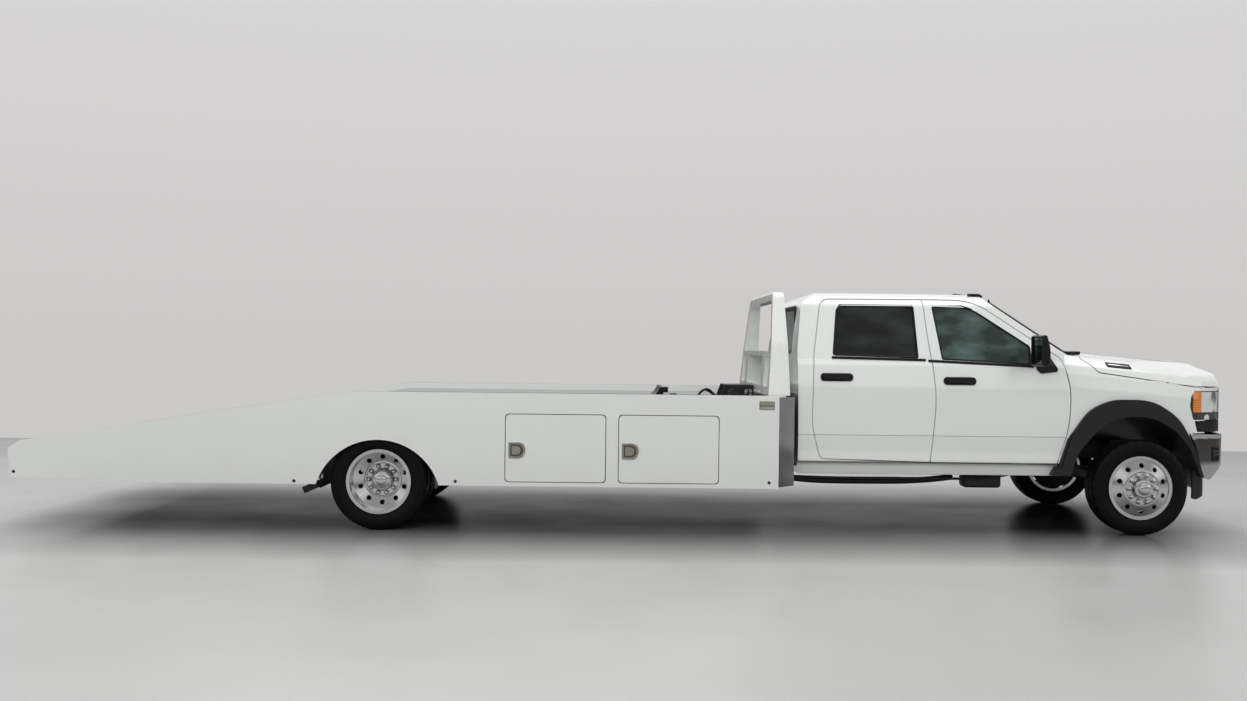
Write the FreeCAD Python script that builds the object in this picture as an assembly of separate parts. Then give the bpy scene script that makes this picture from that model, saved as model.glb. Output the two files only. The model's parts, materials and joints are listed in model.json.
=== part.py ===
import FreeCAD, Part
import math
import os

# Crew cab truck with a low flatbed carrier body, in millimetres.
# X points forward, Y to the truck's left, Z up, and Z is zero on the ground.
# The origin lies below the middle of the truck's whole length.

# Whole truck. The cab's span runs from the front axle to the cab's back, and what sits along it takes a share of it.
CAB_SPAN = 2800.0
CAB_TOP = 1990.0
CAB_HALF = 1005.0
WHEELBASE = 6235.0
OVERHANG_SHARE = 0.3304
FRONT_OVERHANG = CAB_SPAN * OVERHANG_SHARE
REAR_OVERHANG = 2965.0
OVERALL = WHEELBASE + FRONT_OVERHANG + REAR_OVERHANG
FRONT_X = OVERALL / 2 - FRONT_OVERHANG
REAR_X = FRONT_X - WHEELBASE
FRONT_TRACK = 1900.0
REAR_TRACK = 1885.0
TWIN_SPACING = 255.0

# Tyres and rims
TYRE_R = 392.0
TYRE_W = 225.0
SIDEWALL_R = 322.0
BEAD_W = 172.0
CROWN_DROP = 9.0
WALL_ROUND = 60.0
SHOULDER_ROUND = 14.0
RIM_R = 248.0
RIM_WALL = 12.0
RIM_LIP = 14.0
RIM_LIP_W = 12.0
DISC_T = 14.0
DISC_RISE = 30.0
HUB_RING_R = 152.0
HUB_CAP_R = 70.0
HUB_CAP_TIP_R = 62.0
HUB_ROUND = 20.0
CAP_ROUND = 10.0
REAR_CAP_R = 81.0
HAND_HOLE_R = 20.0
HAND_HOLE_RING = 187.0
HAND_HOLES = 10
LUG_RING = 112.0
LUG_R = 14.0
LUG_L = 30.0
LUGS = 10
FRONT_DISC_OUT = 105.0
REAR_DISC_IN = 96.0

# Running fits
FIT = 0.05
SEAT_GAP = 0.3

# Frame rails
RAIL_OUT = 432.0
RAIL_TOP = 760.0
RAIL_H = 180.0
RAIL_FLANGE = 75.0
RAIL_T = 8.0
RAIL_FRONT_SHARE = 0.2464
RAIL_FRONT = CAB_SPAN * RAIL_FRONT_SHARE
RAIL_REAR_END = 1215.0
CROSS_T = 60.0
CROSS_H = 110.0

# Axles
KINGPIN_Y = 800.0
KINGPIN_R = 17.0
AXLE_R = 62.0
EAR_T = 28.0
EAR_R = 42.0
KNUCKLE_H = 130.0
SPINDLE_R = 30.0
HUB_R = 88.0
HUB_L = 150.0
DIFF_R = 185.0
DIFF_W = 230.0
SPRING_Y = 515.0
LEAF_W = 75.0
LEAF_T = 34.0
LEAF_HALF = 690.0
LEAF_RISE = 120.0
COIL_R = 72.0
COIL_WIRE = 16.0

# Cab
DOOR_GAP = 8.0
DOOR_DEPTH = 125.0
LIP_T = 12.0
LIP_SEAL = 5.0
PANEL_INSET = 40.0
APERTURE_INSET = 18.0
GLASS_T = 5.0
GLASS_DEPTH = 17.0
GLASS_HELD = 12.0
FLOOR_Z = 800.0
FLOOR_T = 30.0
TUNNEL_HALF = 660.0
FLOOR_SHARE = 0.417
STEP_CUT_SHARE = 0.419
BELT_CUT_SHARE = 0.545
ROOF_CUT_Z = 1820.0
FIREWALL_SHARE = 0.2143
COWL_SHARE = 0.1232
FIREWALL_X = CAB_SPAN * FIREWALL_SHARE
COWL_X = CAB_SPAN * COWL_SHARE
COWL_HALF = 800.0
COWL_Z = 1340.0
PAD_T = 30.0
MOUNT_R = 34.0
MOUNT_SHARES = (0.28, 0.55, 0.93)
BACK_LIGHT_SHARE = 0.9955
SIDE_REACH_SHARE = 0.6
OVER = 60.0

# Windscreen, a bowed plane swept along its rake
SCREEN_R = 3500.0
SCREEN_X_SHARE = 0.1196
SCREEN_Z_SHARE = 0.7387
SCREEN_RAKE_SHARE = 1.1123
SCREEN_X = CAB_SPAN * SCREEN_X_SHARE
SCREEN_Z = CAB_TOP * SCREEN_Z_SHARE
SCREEN_RAKE = CAB_SPAN / CAB_TOP * SCREEN_RAKE_SHARE
SCREEN_DEPTH = 7.0
SCREEN_T = 9.0
SCREEN_HELD = 15.0

# Front end
NOSE_DROP_SHARE = 0.09
NOSE_CORNER_TURN = 50.0
SKIN_T = 22.0
HOOD_T = 30.0
PLATE_L = 44.0
TAB_L = 18.0
HOOD_R = 3500.0
HOOD_BACK_SHARE = 0.1179
HOOD_BACK = CAB_SPAN * HOOD_BACK_SHARE
APRON_Y = 600.0
APRON_TOP = 1130.0
ARCH_LINER_SHARE = 0.184
ARCH_LINER_R = CAB_SPAN * ARCH_LINER_SHARE
LINER_T = 8.0
LINER_FOOT = 529.0
FLARE_OUT = 1040.0
FLARE_FOOT = 486.0
FLARE_LAP = 25.0
FLARE_INNER = 970.0
FLARE_DOOR_GAP = 14.0
FLARE_SWEEP_GAP = 34.0
FLARE_SWEEP_T = 18.0
HOOD_STOP_SHARES = (-0.0893, 0.150)
LAMP_IN = 600.0
LAMP_DEPTH = 110.0
GRILLE_DEPTH = 45.0
GRILLE_BAR = 26.0
GRILLE_BARS = 5
BUMPER_T = 30.0
BUMPER_OUT = 50.0
DAM_IN = 135.0
BRACKET_T = 32.0

# Flatbed
BED_GAP = 60.0
BED_FRONT = CAB_SPAN + BED_GAP
BED_LENGTH = REAR_OVERHANG + WHEELBASE - BED_FRONT
BED_HALF = 1220.0
BED_TOP = 1122.0
DECK_DROP = 57.0
DECK_T = 40.0
DECK_IN = 350.0
KINK_SHARE = 0.5615
TAIL_SHARE = 0.984
TAIL_TOP = 700.0
TAIL_TIP = 637.0
SKIRT_BOTTOM = 374.0
TAIL_BOTTOM = 406.0
SKIRT_T = 12.0
SIDE_RAIL_W = 75.0
CORNER = 146.0
BEARER_H = 110.0
OUTRIGGER_H = 40.0
BEARER_T = 50.0
BEARER_ROOT = 700.0
ARCH_R = 518.0
ARCH_Z = 217.0
REAR_LINER_R = 458.0
REAR_LINER_IN = 690.0
BOX_SPAN = WHEELBASE - BED_FRONT - ARCH_R
BOX_DOOR_SHARE = 0.2811
BOX_DOOR_W = BOX_SPAN * BOX_DOOR_SHARE
BOX_DOOR_BOTTOM = 411.0
BOX_DOOR_TOP = 952.0
BOX_DOOR_T = 25.0
BOX_FRONT_SHARES = (0.2212, 0.5404)
BOX_FRONTS = [BED_FRONT + BOX_SPAN * share for share in BOX_FRONT_SHARES]
BOX_GAP = 6.0
BOX_WALL = 4.0
BOX_RIM = 33.0
BOX_LEDGE = 15.0
BOX_IN = 760.0
BOX_SEAL = 5.0

# Rack, winch and stops
RACK_BACK = 45.0
RACK_BASE = 177.0
RACK_LEAN = 70.0
RACK_TAPER = 17.0
RACK_TOP = 1985.0
RACK_HALF = 1120.0
RACK_WAIST = 1020.0
RACK_WAIST_Z = 1540.0
RACK_HEAD_HALF = 800.0
RACK_BEND_R = 300.0
RACK_HEAD_R = 110.0
RACK_EDGE_R = 20.0
RACK_POST = 75.0
RACK_FOOT_Z = 1188.0
RACK_SHELF_Z = 1442.0
RACK_SILL_Z = 1482.0
RACK_HEAD_Z = 1911.0
RACK_MIDDLE = 526.0
RACK_WING_IN = 702.0
RACK_WING_OUT = 975.0
STOP_BACK = 1165.0
STOP_L = 180.0
STOP_H = 114.0
STOP_TOE = 11.0
STOP_HOLLOW_X = 11.0
STOP_HOLLOW_Z = 42.0
STOP_OUT = SIDE_RAIL_W * 2 - BED_HALF
WINCH_BACK = 388.0
WINCH_L = 315.0
WINCH_HALF = 190.0
WINCH_H = 152.0
WINCH_WALL = 12.0
WINCH_LEAN = 50.0
WINCH_SLOT_L = 70.0
WINCH_SLOT_H = 60.0
DRUM_BACK = 40.0
DRUM_R = 42.0
DRUM_FLANGE_R = 58.0
DRUM_SHAFT_R = 20.0
MOTOR_L = 108.0

X_AXIS = FreeCAD.Vector(1, 0, 0)
Y_AXIS = FreeCAD.Vector(0, 1, 0)
Z_AXIS = FreeCAD.Vector(0, 0, 1)
ORIGIN = FreeCAD.Vector(0, 0, 0)


def vec(x, y, z):
    return FreeCAD.Vector(x, y, z)


def save(name, *shapes):
    """Write one node's solids to its own STEP file."""
    solids = [solid for shape in shapes for solid in shape.Solids]
    Part.makeCompound(solids).exportStep("parts/" + name + ".step")


def mirrored(shape):
    return shape.mirror(ORIGIN, Y_AXIS)


def both(shape):
    return Part.makeCompound([shape, mirrored(shape)])


def box(x0, x1, y0, y1, z0, z1):
    corner = vec(min(x0, x1), min(y0, y1), min(z0, z1))
    return Part.makeBox(abs(x1 - x0), abs(y1 - y0), abs(z1 - z0), corner)


def rod(start, end, radius):
    line = end - start
    return Part.makeCylinder(radius, line.Length, start, line)


def fused(*shapes):
    solid = shapes[0].fuse(list(shapes[1:]))
    return solid.removeSplitter()


def side_point(a, b):
    return vec(a, 0, b)


def section_point(a, b):
    return vec(0, a, b)


def plan_point(a, b):
    return vec(a, b, 0)


def rounded_face(points, place):
    """Make a closed outline of corners (a, b, radius) into a face."""
    corners = [place(a, b) for a, b, r in points]
    starts = []
    ends = []
    mids = []
    for i in range(len(points)):
        here = corners[i]
        back = corners[i - 1] - here
        ahead = corners[(i + 1) % len(points)] - here
        half = back.getAngle(ahead) / 2
        reach = points[i][2] / math.tan(half) if points[i][2] else 0
        reach = min(reach, back.Length * 0.49, ahead.Length * 0.49)
        radius = reach * math.tan(half)
        back.normalize()
        ahead.normalize()
        starts.append(here + back * reach)
        ends.append(here + ahead * reach)
        if reach:
            inward = (back + ahead).normalize()
            centre = here + inward * (radius / math.sin(half))
            mids.append(centre - inward * radius)
        else:
            mids.append(None)
    edges = []
    for i in range(len(points)):
        if mids[i]:
            edges.append(Part.Arc(starts[i], mids[i], ends[i]).toShape())
        following = starts[(i + 1) % len(points)]
        edges.append(Part.LineSegment(ends[i], following).toShape())
    return Part.Face(Part.Wire(edges))


def grown(face, distance):
    return face.makeOffset2D(distance) if distance else face


def side_prism(face, y0, y1):
    return face.translated(vec(0, y0, 0)).extrude(vec(0, y1 - y0, 0))


def section_prism(face, x0, x1):
    return face.translated(vec(x0, 0, 0)).extrude(vec(x1 - x0, 0, 0))


def plan_prism(face, z0, z1):
    return face.translated(vec(0, 0, z0)).extrude(vec(0, 0, z1 - z0))


def side_face(points):
    return rounded_face(points, side_point)


def section_face(points):
    return rounded_face(points, section_point)


def plan_face(points):
    return rounded_face(points, plan_point)


def rect(a0, a1, b0, b1, radius):
    return [(a0, b0, radius), (a1, b0, radius), (a1, b1, radius), (a0, b1, radius)]


# Cab outlines: shares of the span from the front axle to the cab's back and of the roof's height

CAB_SIDE_SHARES = [(-1.005, 0.236, 0.01), (-1.008, 0.74, 0.8), (-0.99, 0.955, 0.06), (-0.935, 1.0, 0.06),
                   (-0.72, 1.010, 1.5), (-0.47, 1.004, 1.0), (-0.123, 0.93, 0.2), (-0.123, 0.673, 0),
                   (-0.2143, 0.673, 0), (-0.2143, 0.236, 0.01)]
CAVITY_SIDE_SHARES = [(-0.985, FLOOR_SHARE, 0.03), (-0.988, 0.74, 0.8), (-0.972, 0.94, 0.05), (-0.925, 0.977, 0.05),
                      (-0.72, 0.986, 1.5), (-0.480, 0.978, 0.1), (-0.228, 0.752, 0.02), (-0.228, FLOOR_SHARE, 0.01)]
CAB_SECTION_SHARES = [(0.90, 0.236, 0.004), (0.932, 0.286, 0.006), (0.980, 0.292, 0.004), (0.984, 0.330, 0.02),
                      (1.0, 0.402, 0.02), (0.999, 0.60, 0.15), (0.972, 0.693, 0.03), (0.938, 0.7165, 0.008),
                      (0.787, 0.945, 0.04), (0.70, 0.986, 0.06), (0.30, 1.008, 1.5)]
CAVITY_SECTION_SHARES = [(0.880, FLOOR_SHARE, 0.01), (0.880, 0.70, 0.03), (0.735, 0.930, 0.04), (0.66, 0.9625, 0.04),
                         (0.30, 0.984, 1.5)]
REAR_DOOR_SHARES = [(-0.932, 0.970, 0.045), (-0.960, 0.720, 0.6), (-0.966, 0.440, 0.3), (-0.940, 0.302, 0.03),
                    (-0.6145, 0.291, 0.006), (-0.5985, 0.545, 0.8), (-0.6193, 0.86, 0.5), (-0.6235, 0.972, 0.006)]
FRONT_DOOR_SHARES = [(-0.6235, 0.972, 0.006), (-0.6193, 0.86, 0.5), (-0.5985, 0.545, 0.8), (-0.6145, 0.291, 0.006),
                     (-0.2395, 0.2855, 0.006), (-0.2050, 0.45, 0.5), (-0.2010, 0.600, 0.4), (-0.2235, 0.727, 0.04),
                     (-0.475, 0.971, 0.25)]
REAR_WINDOW_SHARES = [(-0.886, 0.942, 0.03), (-0.9035, 0.730, 0.012), (-0.647, 0.7215, 0.008),
                      (-0.6515, 0.943, 0.008)]
FRONT_WINDOW_SHARES = [(-0.5985, 0.943, 0.008), (-0.5785, 0.717, 0.008), (-0.3125, 0.7005, 0.008),
                       (-0.3115, 0.778, 0.02), (-0.480, 0.9385, 0.14)]
SCREEN_SHARES = [(0.80, 0.752, 0.03), (0.655, 0.966, 0.03)]
BACK_LIGHT_SHARES = [(0.60, 0.735, 0.02), (0.57, 0.935, 0.02)]


def cab_side(shares):
    points = [(FRONT_X + a * CAB_SPAN, b * CAB_TOP, r * CAB_TOP) for a, b, r in shares]
    return side_face(points)


def cab_section(shares):
    right = [(a * CAB_HALF, b * CAB_TOP, r * CAB_TOP) for a, b, r in shares]
    left = [(-a, b, r) for a, b, r in reversed(right)]
    return section_face(right + left)


def screen_form(depth):
    """Everything behind the windscreen's surface moved in by a depth."""
    half = CAB_HALF + OVER
    along = vec(-SCREEN_RAKE, 0, 1).normalize()
    ahead = vec(1, 0, SCREEN_RAKE).normalize()
    bow = vec(FRONT_X - SCREEN_X + SCREEN_RAKE * SCREEN_Z, 0, 0) - ahead * depth
    sag = SCREEN_R - math.sqrt(SCREEN_R ** 2 - half ** 2)
    right = bow - ahead * sag - vec(0, half, 0)
    left = bow - ahead * sag + vec(0, half, 0)
    far = ahead * (CAB_SPAN * 2)
    arc = Part.Arc(right, bow, left).toShape()
    sides = Part.makePolygon([left, left - far, right - far, right]).Edges
    face = Part.Face(Part.Wire([arc] + sides))
    return face.extrude(along * (CAB_SPAN * 3))


CAB_BACK = FRONT_X - CAB_SPAN - OVER
CAB_NOSE = FRONT_X - COWL_X + OVER
CAB_SECTION = cab_section(CAB_SECTION_SHARES)
CAVITY_SECTION = cab_section(CAVITY_SECTION_SHARES)
REAR_DOOR = cab_side(REAR_DOOR_SHARES)
FRONT_DOOR = cab_side(FRONT_DOOR_SHARES)
REAR_WINDOW = cab_side(REAR_WINDOW_SHARES)
FRONT_WINDOW = cab_side(FRONT_WINDOW_SHARES)
SCREEN = cab_section(SCREEN_SHARES)
BACK_LIGHT = cab_section(BACK_LIGHT_SHARES)
RIGHT_OUT = -CAB_HALF - OVER
RIGHT_IN = -CAB_HALF * SIDE_REACH_SHARE


def side_form(growth):
    """The cab's cross section, grown or shrunk, along the whole cab."""
    return section_prism(grown(CAB_SECTION, growth), CAB_BACK, CAB_NOSE)


SIDE_FORM = side_form(0)
LIP_FORM = side_form(-LIP_T)
SEAL_FORM = side_form(-LIP_T - LIP_SEAL)
DOOR_FORM = side_form(-DOOR_DEPTH)
RECESS_FORM = side_form(-DOOR_DEPTH - DOOR_GAP)
ROOM_FORM = section_prism(CAVITY_SECTION, CAB_BACK, CAB_NOSE)


def right_prism(face, growth):
    return side_prism(grown(face, growth), RIGHT_OUT, RIGHT_IN)


def layers(shape, cuts):
    """The shape in level layers that meet at the heights given, bottom first."""
    reach = CAB_SPAN * 2
    floors = [-reach] + list(cuts)
    roofs = list(cuts) + [reach]
    parts = []
    for floor, roof in zip(floors, roofs):
        parts.append(shape.common(box(-reach, reach, -reach, reach, floor, roof)))
    return parts


def cab_door(outline, window):
    """Outer skin lapping the body, a full depth panel inside it, and the window cut out. It comes as two
    layers that meet at the belt crease."""
    skin = right_prism(outline, -DOOR_GAP / 2).common(SIDE_FORM).cut(LIP_FORM)
    panel = right_prism(outline, -DOOR_GAP / 2 - PANEL_INSET).common(SIDE_FORM).cut([ROOM_FORM, DOOR_FORM])
    slot_form = side_form(SEAT_GAP - GLASS_DEPTH).cut(side_form(-GLASS_DEPTH - GLASS_T - SEAT_GAP))
    slot = right_prism(window, GLASS_HELD + SEAT_GAP).common(slot_form)
    door = fused(skin, panel).cut(right_prism(window, 0)).cut(slot)
    return Part.makeCompound(layers(door, [CAB_TOP * BELT_CUT_SHARE]))


def door_glass(window):
    layer = side_form(-GLASS_DEPTH).cut(side_form(-GLASS_DEPTH - GLASS_T))
    return right_prism(window, GLASS_HELD).common(layer)


def door_pads(outline):
    """Rubber stops on the door opening's ledge that the closed door's skin rests on."""
    ring = right_prism(outline, -DOOR_GAP).cut(right_prism(outline, -APERTURE_INSET))
    layer = side_form(-LIP_T - SEAT_GAP).cut(side_form(-LIP_T - LIP_SEAL - SEAT_GAP))
    bounds = outline.BoundBox
    middle = (bounds.ZMin + bounds.ZMax) / 2
    band = box(bounds.XMin - OVER, bounds.XMax + OVER, RIGHT_OUT, RIGHT_IN, middle - PAD_T, middle + PAD_T)
    return ring.common(layer).common(band)


def cab_shell():
    form = SIDE_FORM.common(side_prism(cab_side(CAB_SIDE_SHARES), RIGHT_OUT, -RIGHT_OUT))
    beside = box(FRONT_X - FIREWALL_X, CAB_NOSE, RIGHT_OUT, -COWL_HALF, 0, CAB_TOP)
    form = form.cut(both(beside)).common(screen_form(0))
    under = box(CAB_BACK, CAB_NOSE, -TUNNEL_HALF, TUNNEL_HALF, 0, FLOOR_Z)
    room = ROOM_FORM.common(side_prism(cab_side(CAVITY_SIDE_SHARES), RIGHT_OUT, -RIGHT_OUT))
    shell = form.cut(under).cut(room)
    for outline in (FRONT_DOOR, REAR_DOOR):
        ledge = right_prism(outline, DOOR_GAP / 2).cut(SEAL_FORM)
        hole = right_prism(outline, -DOOR_GAP / 2 - APERTURE_INSET).cut(RECESS_FORM)
        pads = door_pads(outline)
        shell = shell.cut(both(ledge)).cut(both(hole)).fuse(both(pads))
    screen_hole = section_prism(grown(SCREEN, -SCREEN_HELD), FRONT_X - CAB_SPAN / 2, CAB_NOSE)
    screen_seat = section_prism(grown(SCREEN, SEAT_GAP), FRONT_X - CAB_SPAN / 2, CAB_NOSE)
    screen_seat = screen_seat.cut(screen_form(SCREEN_DEPTH + SCREEN_T + SEAT_GAP))
    light_hole = section_prism(grown(BACK_LIGHT, -SCREEN_HELD), CAB_BACK, FRONT_X - CAB_SPAN / 2)
    light_seat = section_prism(grown(BACK_LIGHT, SEAT_GAP), CAB_BACK, back_light_x() + GLASS_T + SEAT_GAP)
    shell = shell.cut([screen_hole, screen_seat, light_hole, light_seat])
    for share in MOUNT_SHARES:
        foot = vec(FRONT_X - CAB_SPAN * share, RAIL_OUT - RAIL_FLANGE / 2, RAIL_TOP)
        puck = rod(foot, foot + vec(0, 0, FLOOR_Z - RAIL_TOP), MOUNT_R)
        shell = shell.fuse(both(puck))
    parts = layers(shell.removeSplitter(), [CAB_TOP * STEP_CUT_SHARE, CAB_TOP * BELT_CUT_SHARE, ROOF_CUT_Z])
    middle = box(CAB_BACK, CAB_NOSE, -TUNNEL_HALF, TUNNEL_HALF, 0, CAB_TOP)
    return [parts[0].common(middle), parts[0].cut(middle)] + parts[1:]


def back_light_x():
    return FRONT_X - CAB_SPAN * BACK_LIGHT_SHARE


def cab_glass():
    screen = section_prism(SCREEN, FRONT_X - CAB_SPAN / 2, CAB_NOSE)
    screen = screen.common(screen_form(SCREEN_DEPTH)).cut(screen_form(SCREEN_DEPTH + SCREEN_T))
    light = section_prism(BACK_LIGHT, back_light_x(), back_light_x() + GLASS_T)
    return Part.makeCompound([screen, light])


# Front end outlines: shares of the cab span and the roof's height again

FRONT_SECTION_SHARES = [(0.93, 0.236, 0.004), (0.965, 0.300, 0.01), (1.0, 0.402, 0.02), (1.0, 0.615, 0.08),
                        (0.985, 0.665, 0.03), (0.945, 0.708, 0.03), (0.80, 0.748, 0.06), (0.35, 0.772, 1.2)]
FRONT_SIDE_SHARES = [(-0.2143, 0.236, 0), (-0.2143, 0.82, 0), (0.0, 0.775, 1.0), (0.17, 0.748, 0.6),
                     (0.292, 0.706, 0.06), (0.312, 0.590, 0.1), (0.320, 0.236, 0)]
NOSE_CORNER_SHARES = [(-0.5, 0.236, 0), (-0.5, 0.90, 0), (0.1786, 0.745, 0), (0.275, 0.693, 0.3), (0.348, 0.668, 0.15),
                      (0.384, 0.638, 0.06), (0.40, 0.612, 0.05), (0.46, 0.590, 0), (0.46, 0.236, 0)]
NOSE_TIP_SHARE = (FRONT_OVERHANG - BUMPER_OUT) / CAB_SPAN
NOSE_SHARES = [(-0.2143, 1.1, 0), (0.145, 1.035, 0.15), (0.262, 0.88, 0.08), (NOSE_TIP_SHARE, 0.45, 0.4)]
BUMPER_PLAN_SHARES = [(-0.2143, 1.12, 0), (0.145, 1.065, 0.12), (0.268, 0.90, 0.08), (OVERHANG_SHARE, 0.35, 0.4)]
HOOD_SHARES = [(-0.21, 0.87, 0), (-0.163, 0.745, 0.01), (-0.116, 0.672, 0.02), (0.171, 0.617, 0.02),
               (0.23, 0.621, 0.02), (0.5, 0.621, 0), (0.5, 0.87, 0)]
LAMP_SHARES = [(0.150, 0.537, 0.01), (0.153, 0.575, 0.01), (0.171, 0.613, 0.01), (0.5, 0.616, 0),
               (0.5, 0.485, 0), (0.160, 0.480, 0.01)]
LAMP_BACK_SHARE = 0.21
TRIM_SHARES = [(0.164, 0.476, 0.005), (0.5, 0.481, 0), (0.5, 0.430, 0), (0.172, 0.430, 0.005)]
FLARE_SHARES = [(-0.3545, 0.0, 0), (-0.243, 0.290, 0.15), (-0.217, 0.385, 0.2), (-0.150, 0.517, 0.15),
                (-0.085, 0.561, 0.2), (0.035, 0.561, 0.2), (0.115, 0.487, 0.2), (0.165, 0.355, 0.2), (0.2376, 0.0, 0)]
ARCH_SHARES = [(-0.2489, 0.0, 0), (-0.186, 0.335, 0.2), (-0.118, 0.448, 0.2), (-0.055, 0.491, 0.2),
               (0.035, 0.491, 0.2), (0.103, 0.438, 0.2), (0.148, 0.362, 0.2), (0.2437, 0.0, 0)]
BUMPER_TOP_SHARE = 0.425
LOW_NOSE_SHARE = 0.16
LEDGE_SHARE = 0.14
NOSE_FACE_SHARE = 0.20
APRON_HALF_SHARE = 0.955
PLATE_HALF_SHARE = 0.965
TAB_HALF_SHARE = 0.985
WALL_TOP_SHARE = 0.66
GRILLE_LOW_SHARE = 0.435
GRILLE_TOP_SHARE = 0.612
LAMP_BACK = FRONT_X + CAB_SPAN * LAMP_BACK_SHARE
FRONT_SECTION = cab_section(FRONT_SECTION_SHARES)
FRONT_SIDE = cab_side(FRONT_SIDE_SHARES)
HOOD = cab_side(HOOD_SHARES)
FLARE = cab_side(FLARE_SHARES)
ARCH = cab_side(ARCH_SHARES)
NOSE_CORNER_POINTS = [(a * CAB_SPAN, b * CAB_TOP, r * CAB_TOP) for a, b, r in NOSE_CORNER_SHARES]
NOSE_CORNER = rounded_face(NOSE_CORNER_POINTS, side_point)


def plan_outline(shares, growth):
    """An outline seen from above, given for its right half from the back to the front."""
    right = [(FRONT_X + a * CAB_SPAN, -b * CAB_HALF, r * CAB_SPAN) for a, b, r in shares]
    left = [(a, -b, r) for a, b, r in reversed(right)]
    return grown(plan_face(right + left), growth)


def nose_corner(growth):
    """The right front corner's rounded top edge, swept square to the corner's diagonal."""
    reach = CAB_SPAN * 2
    face = grown(NOSE_CORNER, growth).translated(vec(0, -reach, 0))
    form = face.extrude(vec(0, reach * 2, 0)).rotate(ORIGIN, Z_AXIS, -NOSE_CORNER_TURN)
    return form.translated(vec(FRONT_X, 0, 0))


def front_form(growth):
    """The whole front end's outer form, grown or shrunk, from the firewall to the grille."""
    start = FRONT_X - FIREWALL_X
    length = CAB_SPAN
    section = grown(FRONT_SECTION, growth).translated(vec(start, 0, 0))
    section = section.extrude(vec(length, 0, -NOSE_DROP_SHARE * length))
    side = side_prism(grown(FRONT_SIDE, growth), RIGHT_OUT, -RIGHT_OUT)
    plan = plan_prism(plan_outline(NOSE_SHARES, growth), 0, CAB_TOP)
    corner = nose_corner(growth)
    return section.common(side).common(plan).common(corner).common(mirrored(corner))


def hood_region(growth):
    """The region the hood fills, ahead of an arc that follows the windscreen's foot."""
    reach = CAB_HALF + OVER
    line = FRONT_X - HOOD_BACK - growth
    sag = HOOD_R - math.sqrt(HOOD_R ** 2 - reach ** 2)
    front = FRONT_X + FRONT_OVERHANG
    arc = Part.Arc(vec(line - sag, -reach, 0), vec(line, 0, 0), vec(line - sag, reach, 0)).toShape()
    left = Part.LineSegment(vec(line - sag, reach, 0), vec(front, reach, 0)).toShape()
    ahead = Part.LineSegment(vec(front, reach, 0), vec(front, -reach, 0)).toShape()
    right = Part.LineSegment(vec(front, -reach, 0), vec(line - sag, -reach, 0)).toShape()
    plan = plan_prism(Part.Face(Part.Wire([arc, left, ahead, right])), 0, CAB_TOP)
    return side_prism(grown(HOOD, growth), RIGHT_OUT, -RIGHT_OUT).common(plan)


FRONT_FORM = front_form(0)


def hood():
    return FRONT_FORM.cut(front_form(-HOOD_T)).common(hood_region(-DOOR_GAP / 2))


def lamp_region(shares, growth):
    wedge = side_prism(grown(cab_side(shares), growth), RIGHT_OUT, -LAMP_IN + growth)
    return wedge


def lamp_pocket():
    """The inner bound of the lamps, a box well behind the nose."""
    return box(FRONT_X - FIREWALL_X, LAMP_BACK, -CAB_HALF + LAMP_DEPTH, 0, 0, CAB_TOP)


def headlamp():
    return FRONT_FORM.common(lamp_region(LAMP_SHARES, 0)).cut(lamp_pocket())


def lamp_trim():
    return FRONT_FORM.common(lamp_region(TRIM_SHARES, 0)).cut(lamp_pocket())


def fender():
    """Right fender with its inner apron, ledge and closing plate."""
    skin = FRONT_FORM.cut(front_form(-SKIN_T))
    reach = FRONT_X + FRONT_OVERHANG
    firewall = FRONT_X - FIREWALL_X
    bumper_top = CAB_TOP * BUMPER_TOP_SHARE
    middle = box(firewall - OVER, reach, -LAMP_IN, CAB_HALF + OVER, 0, CAB_TOP)
    sill = box(firewall - OVER, reach, -CAB_HALF * APRON_HALF_SHARE, 0, 0, bumper_top)
    low_nose = box(FRONT_X + CAB_SPAN * LOW_NOSE_SHARE, reach, RIGHT_OUT, 0, 0, bumper_top)
    wall = box(firewall - OVER, firewall + PLATE_L, -CAB_HALF * APRON_HALF_SHARE, 0, 0,
               CAB_TOP * WALL_TOP_SHARE)
    cowl = box(firewall - OVER, FRONT_X - HOOD_BACK + OVER, -COWL_HALF - SEAT_GAP, 0, COWL_Z / 2, CAB_TOP)
    door = right_prism(FRONT_DOOR, DOOR_GAP / 2)
    rear_edge = box(firewall - OVER, firewall + SEAT_GAP, RIGHT_OUT, 0, 0, CAB_TOP)
    nose_face = box(FRONT_X + CAB_SPAN * NOSE_FACE_SHARE, reach, RIGHT_OUT, 0, 0, CAB_TOP)
    arch = side_prism(grown(ARCH, FLARE_LAP), RIGHT_OUT, 0)
    lamps = lamp_region(LAMP_SHARES, SEAT_GAP)
    trim = lamp_region(TRIM_SHARES, SEAT_GAP)
    skin = skin.cut([middle, sill, low_nose, wall, cowl, door, rear_edge, nose_face, arch, lamps, trim,
                     hood_region(DOOR_GAP / 2)])
    skin = max(skin.Solids, key=lambda solid: solid.Volume)
    apron = box(firewall, LAMP_BACK - SEAT_GAP, -APRON_Y - SKIN_T, -APRON_Y, RAIL_TOP, APRON_TOP)
    ledge = box(firewall + SKIN_T, FRONT_X + CAB_SPAN * LEDGE_SHARE, -CAB_HALF + SKIN_T / 2, -APRON_Y,
                APRON_TOP - SKIN_T, APRON_TOP)
    plate_front = firewall + PLATE_L + SKIN_T
    plate = box(firewall, plate_front, -CAB_HALF * PLATE_HALF_SHARE, -APRON_Y, RAIL_TOP, APRON_TOP)
    tab = box(plate_front - TAB_L, plate_front, -CAB_HALF * TAB_HALF_SHARE, -APRON_Y, RAIL_TOP, APRON_TOP)
    arch_room = liner_form(LINER_T + BOX_WALL)
    inner = fused(ledge, plate, tab).cut(arch_room).cut(door)
    return fused(skin, inner, apron, *hood_stops())


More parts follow.
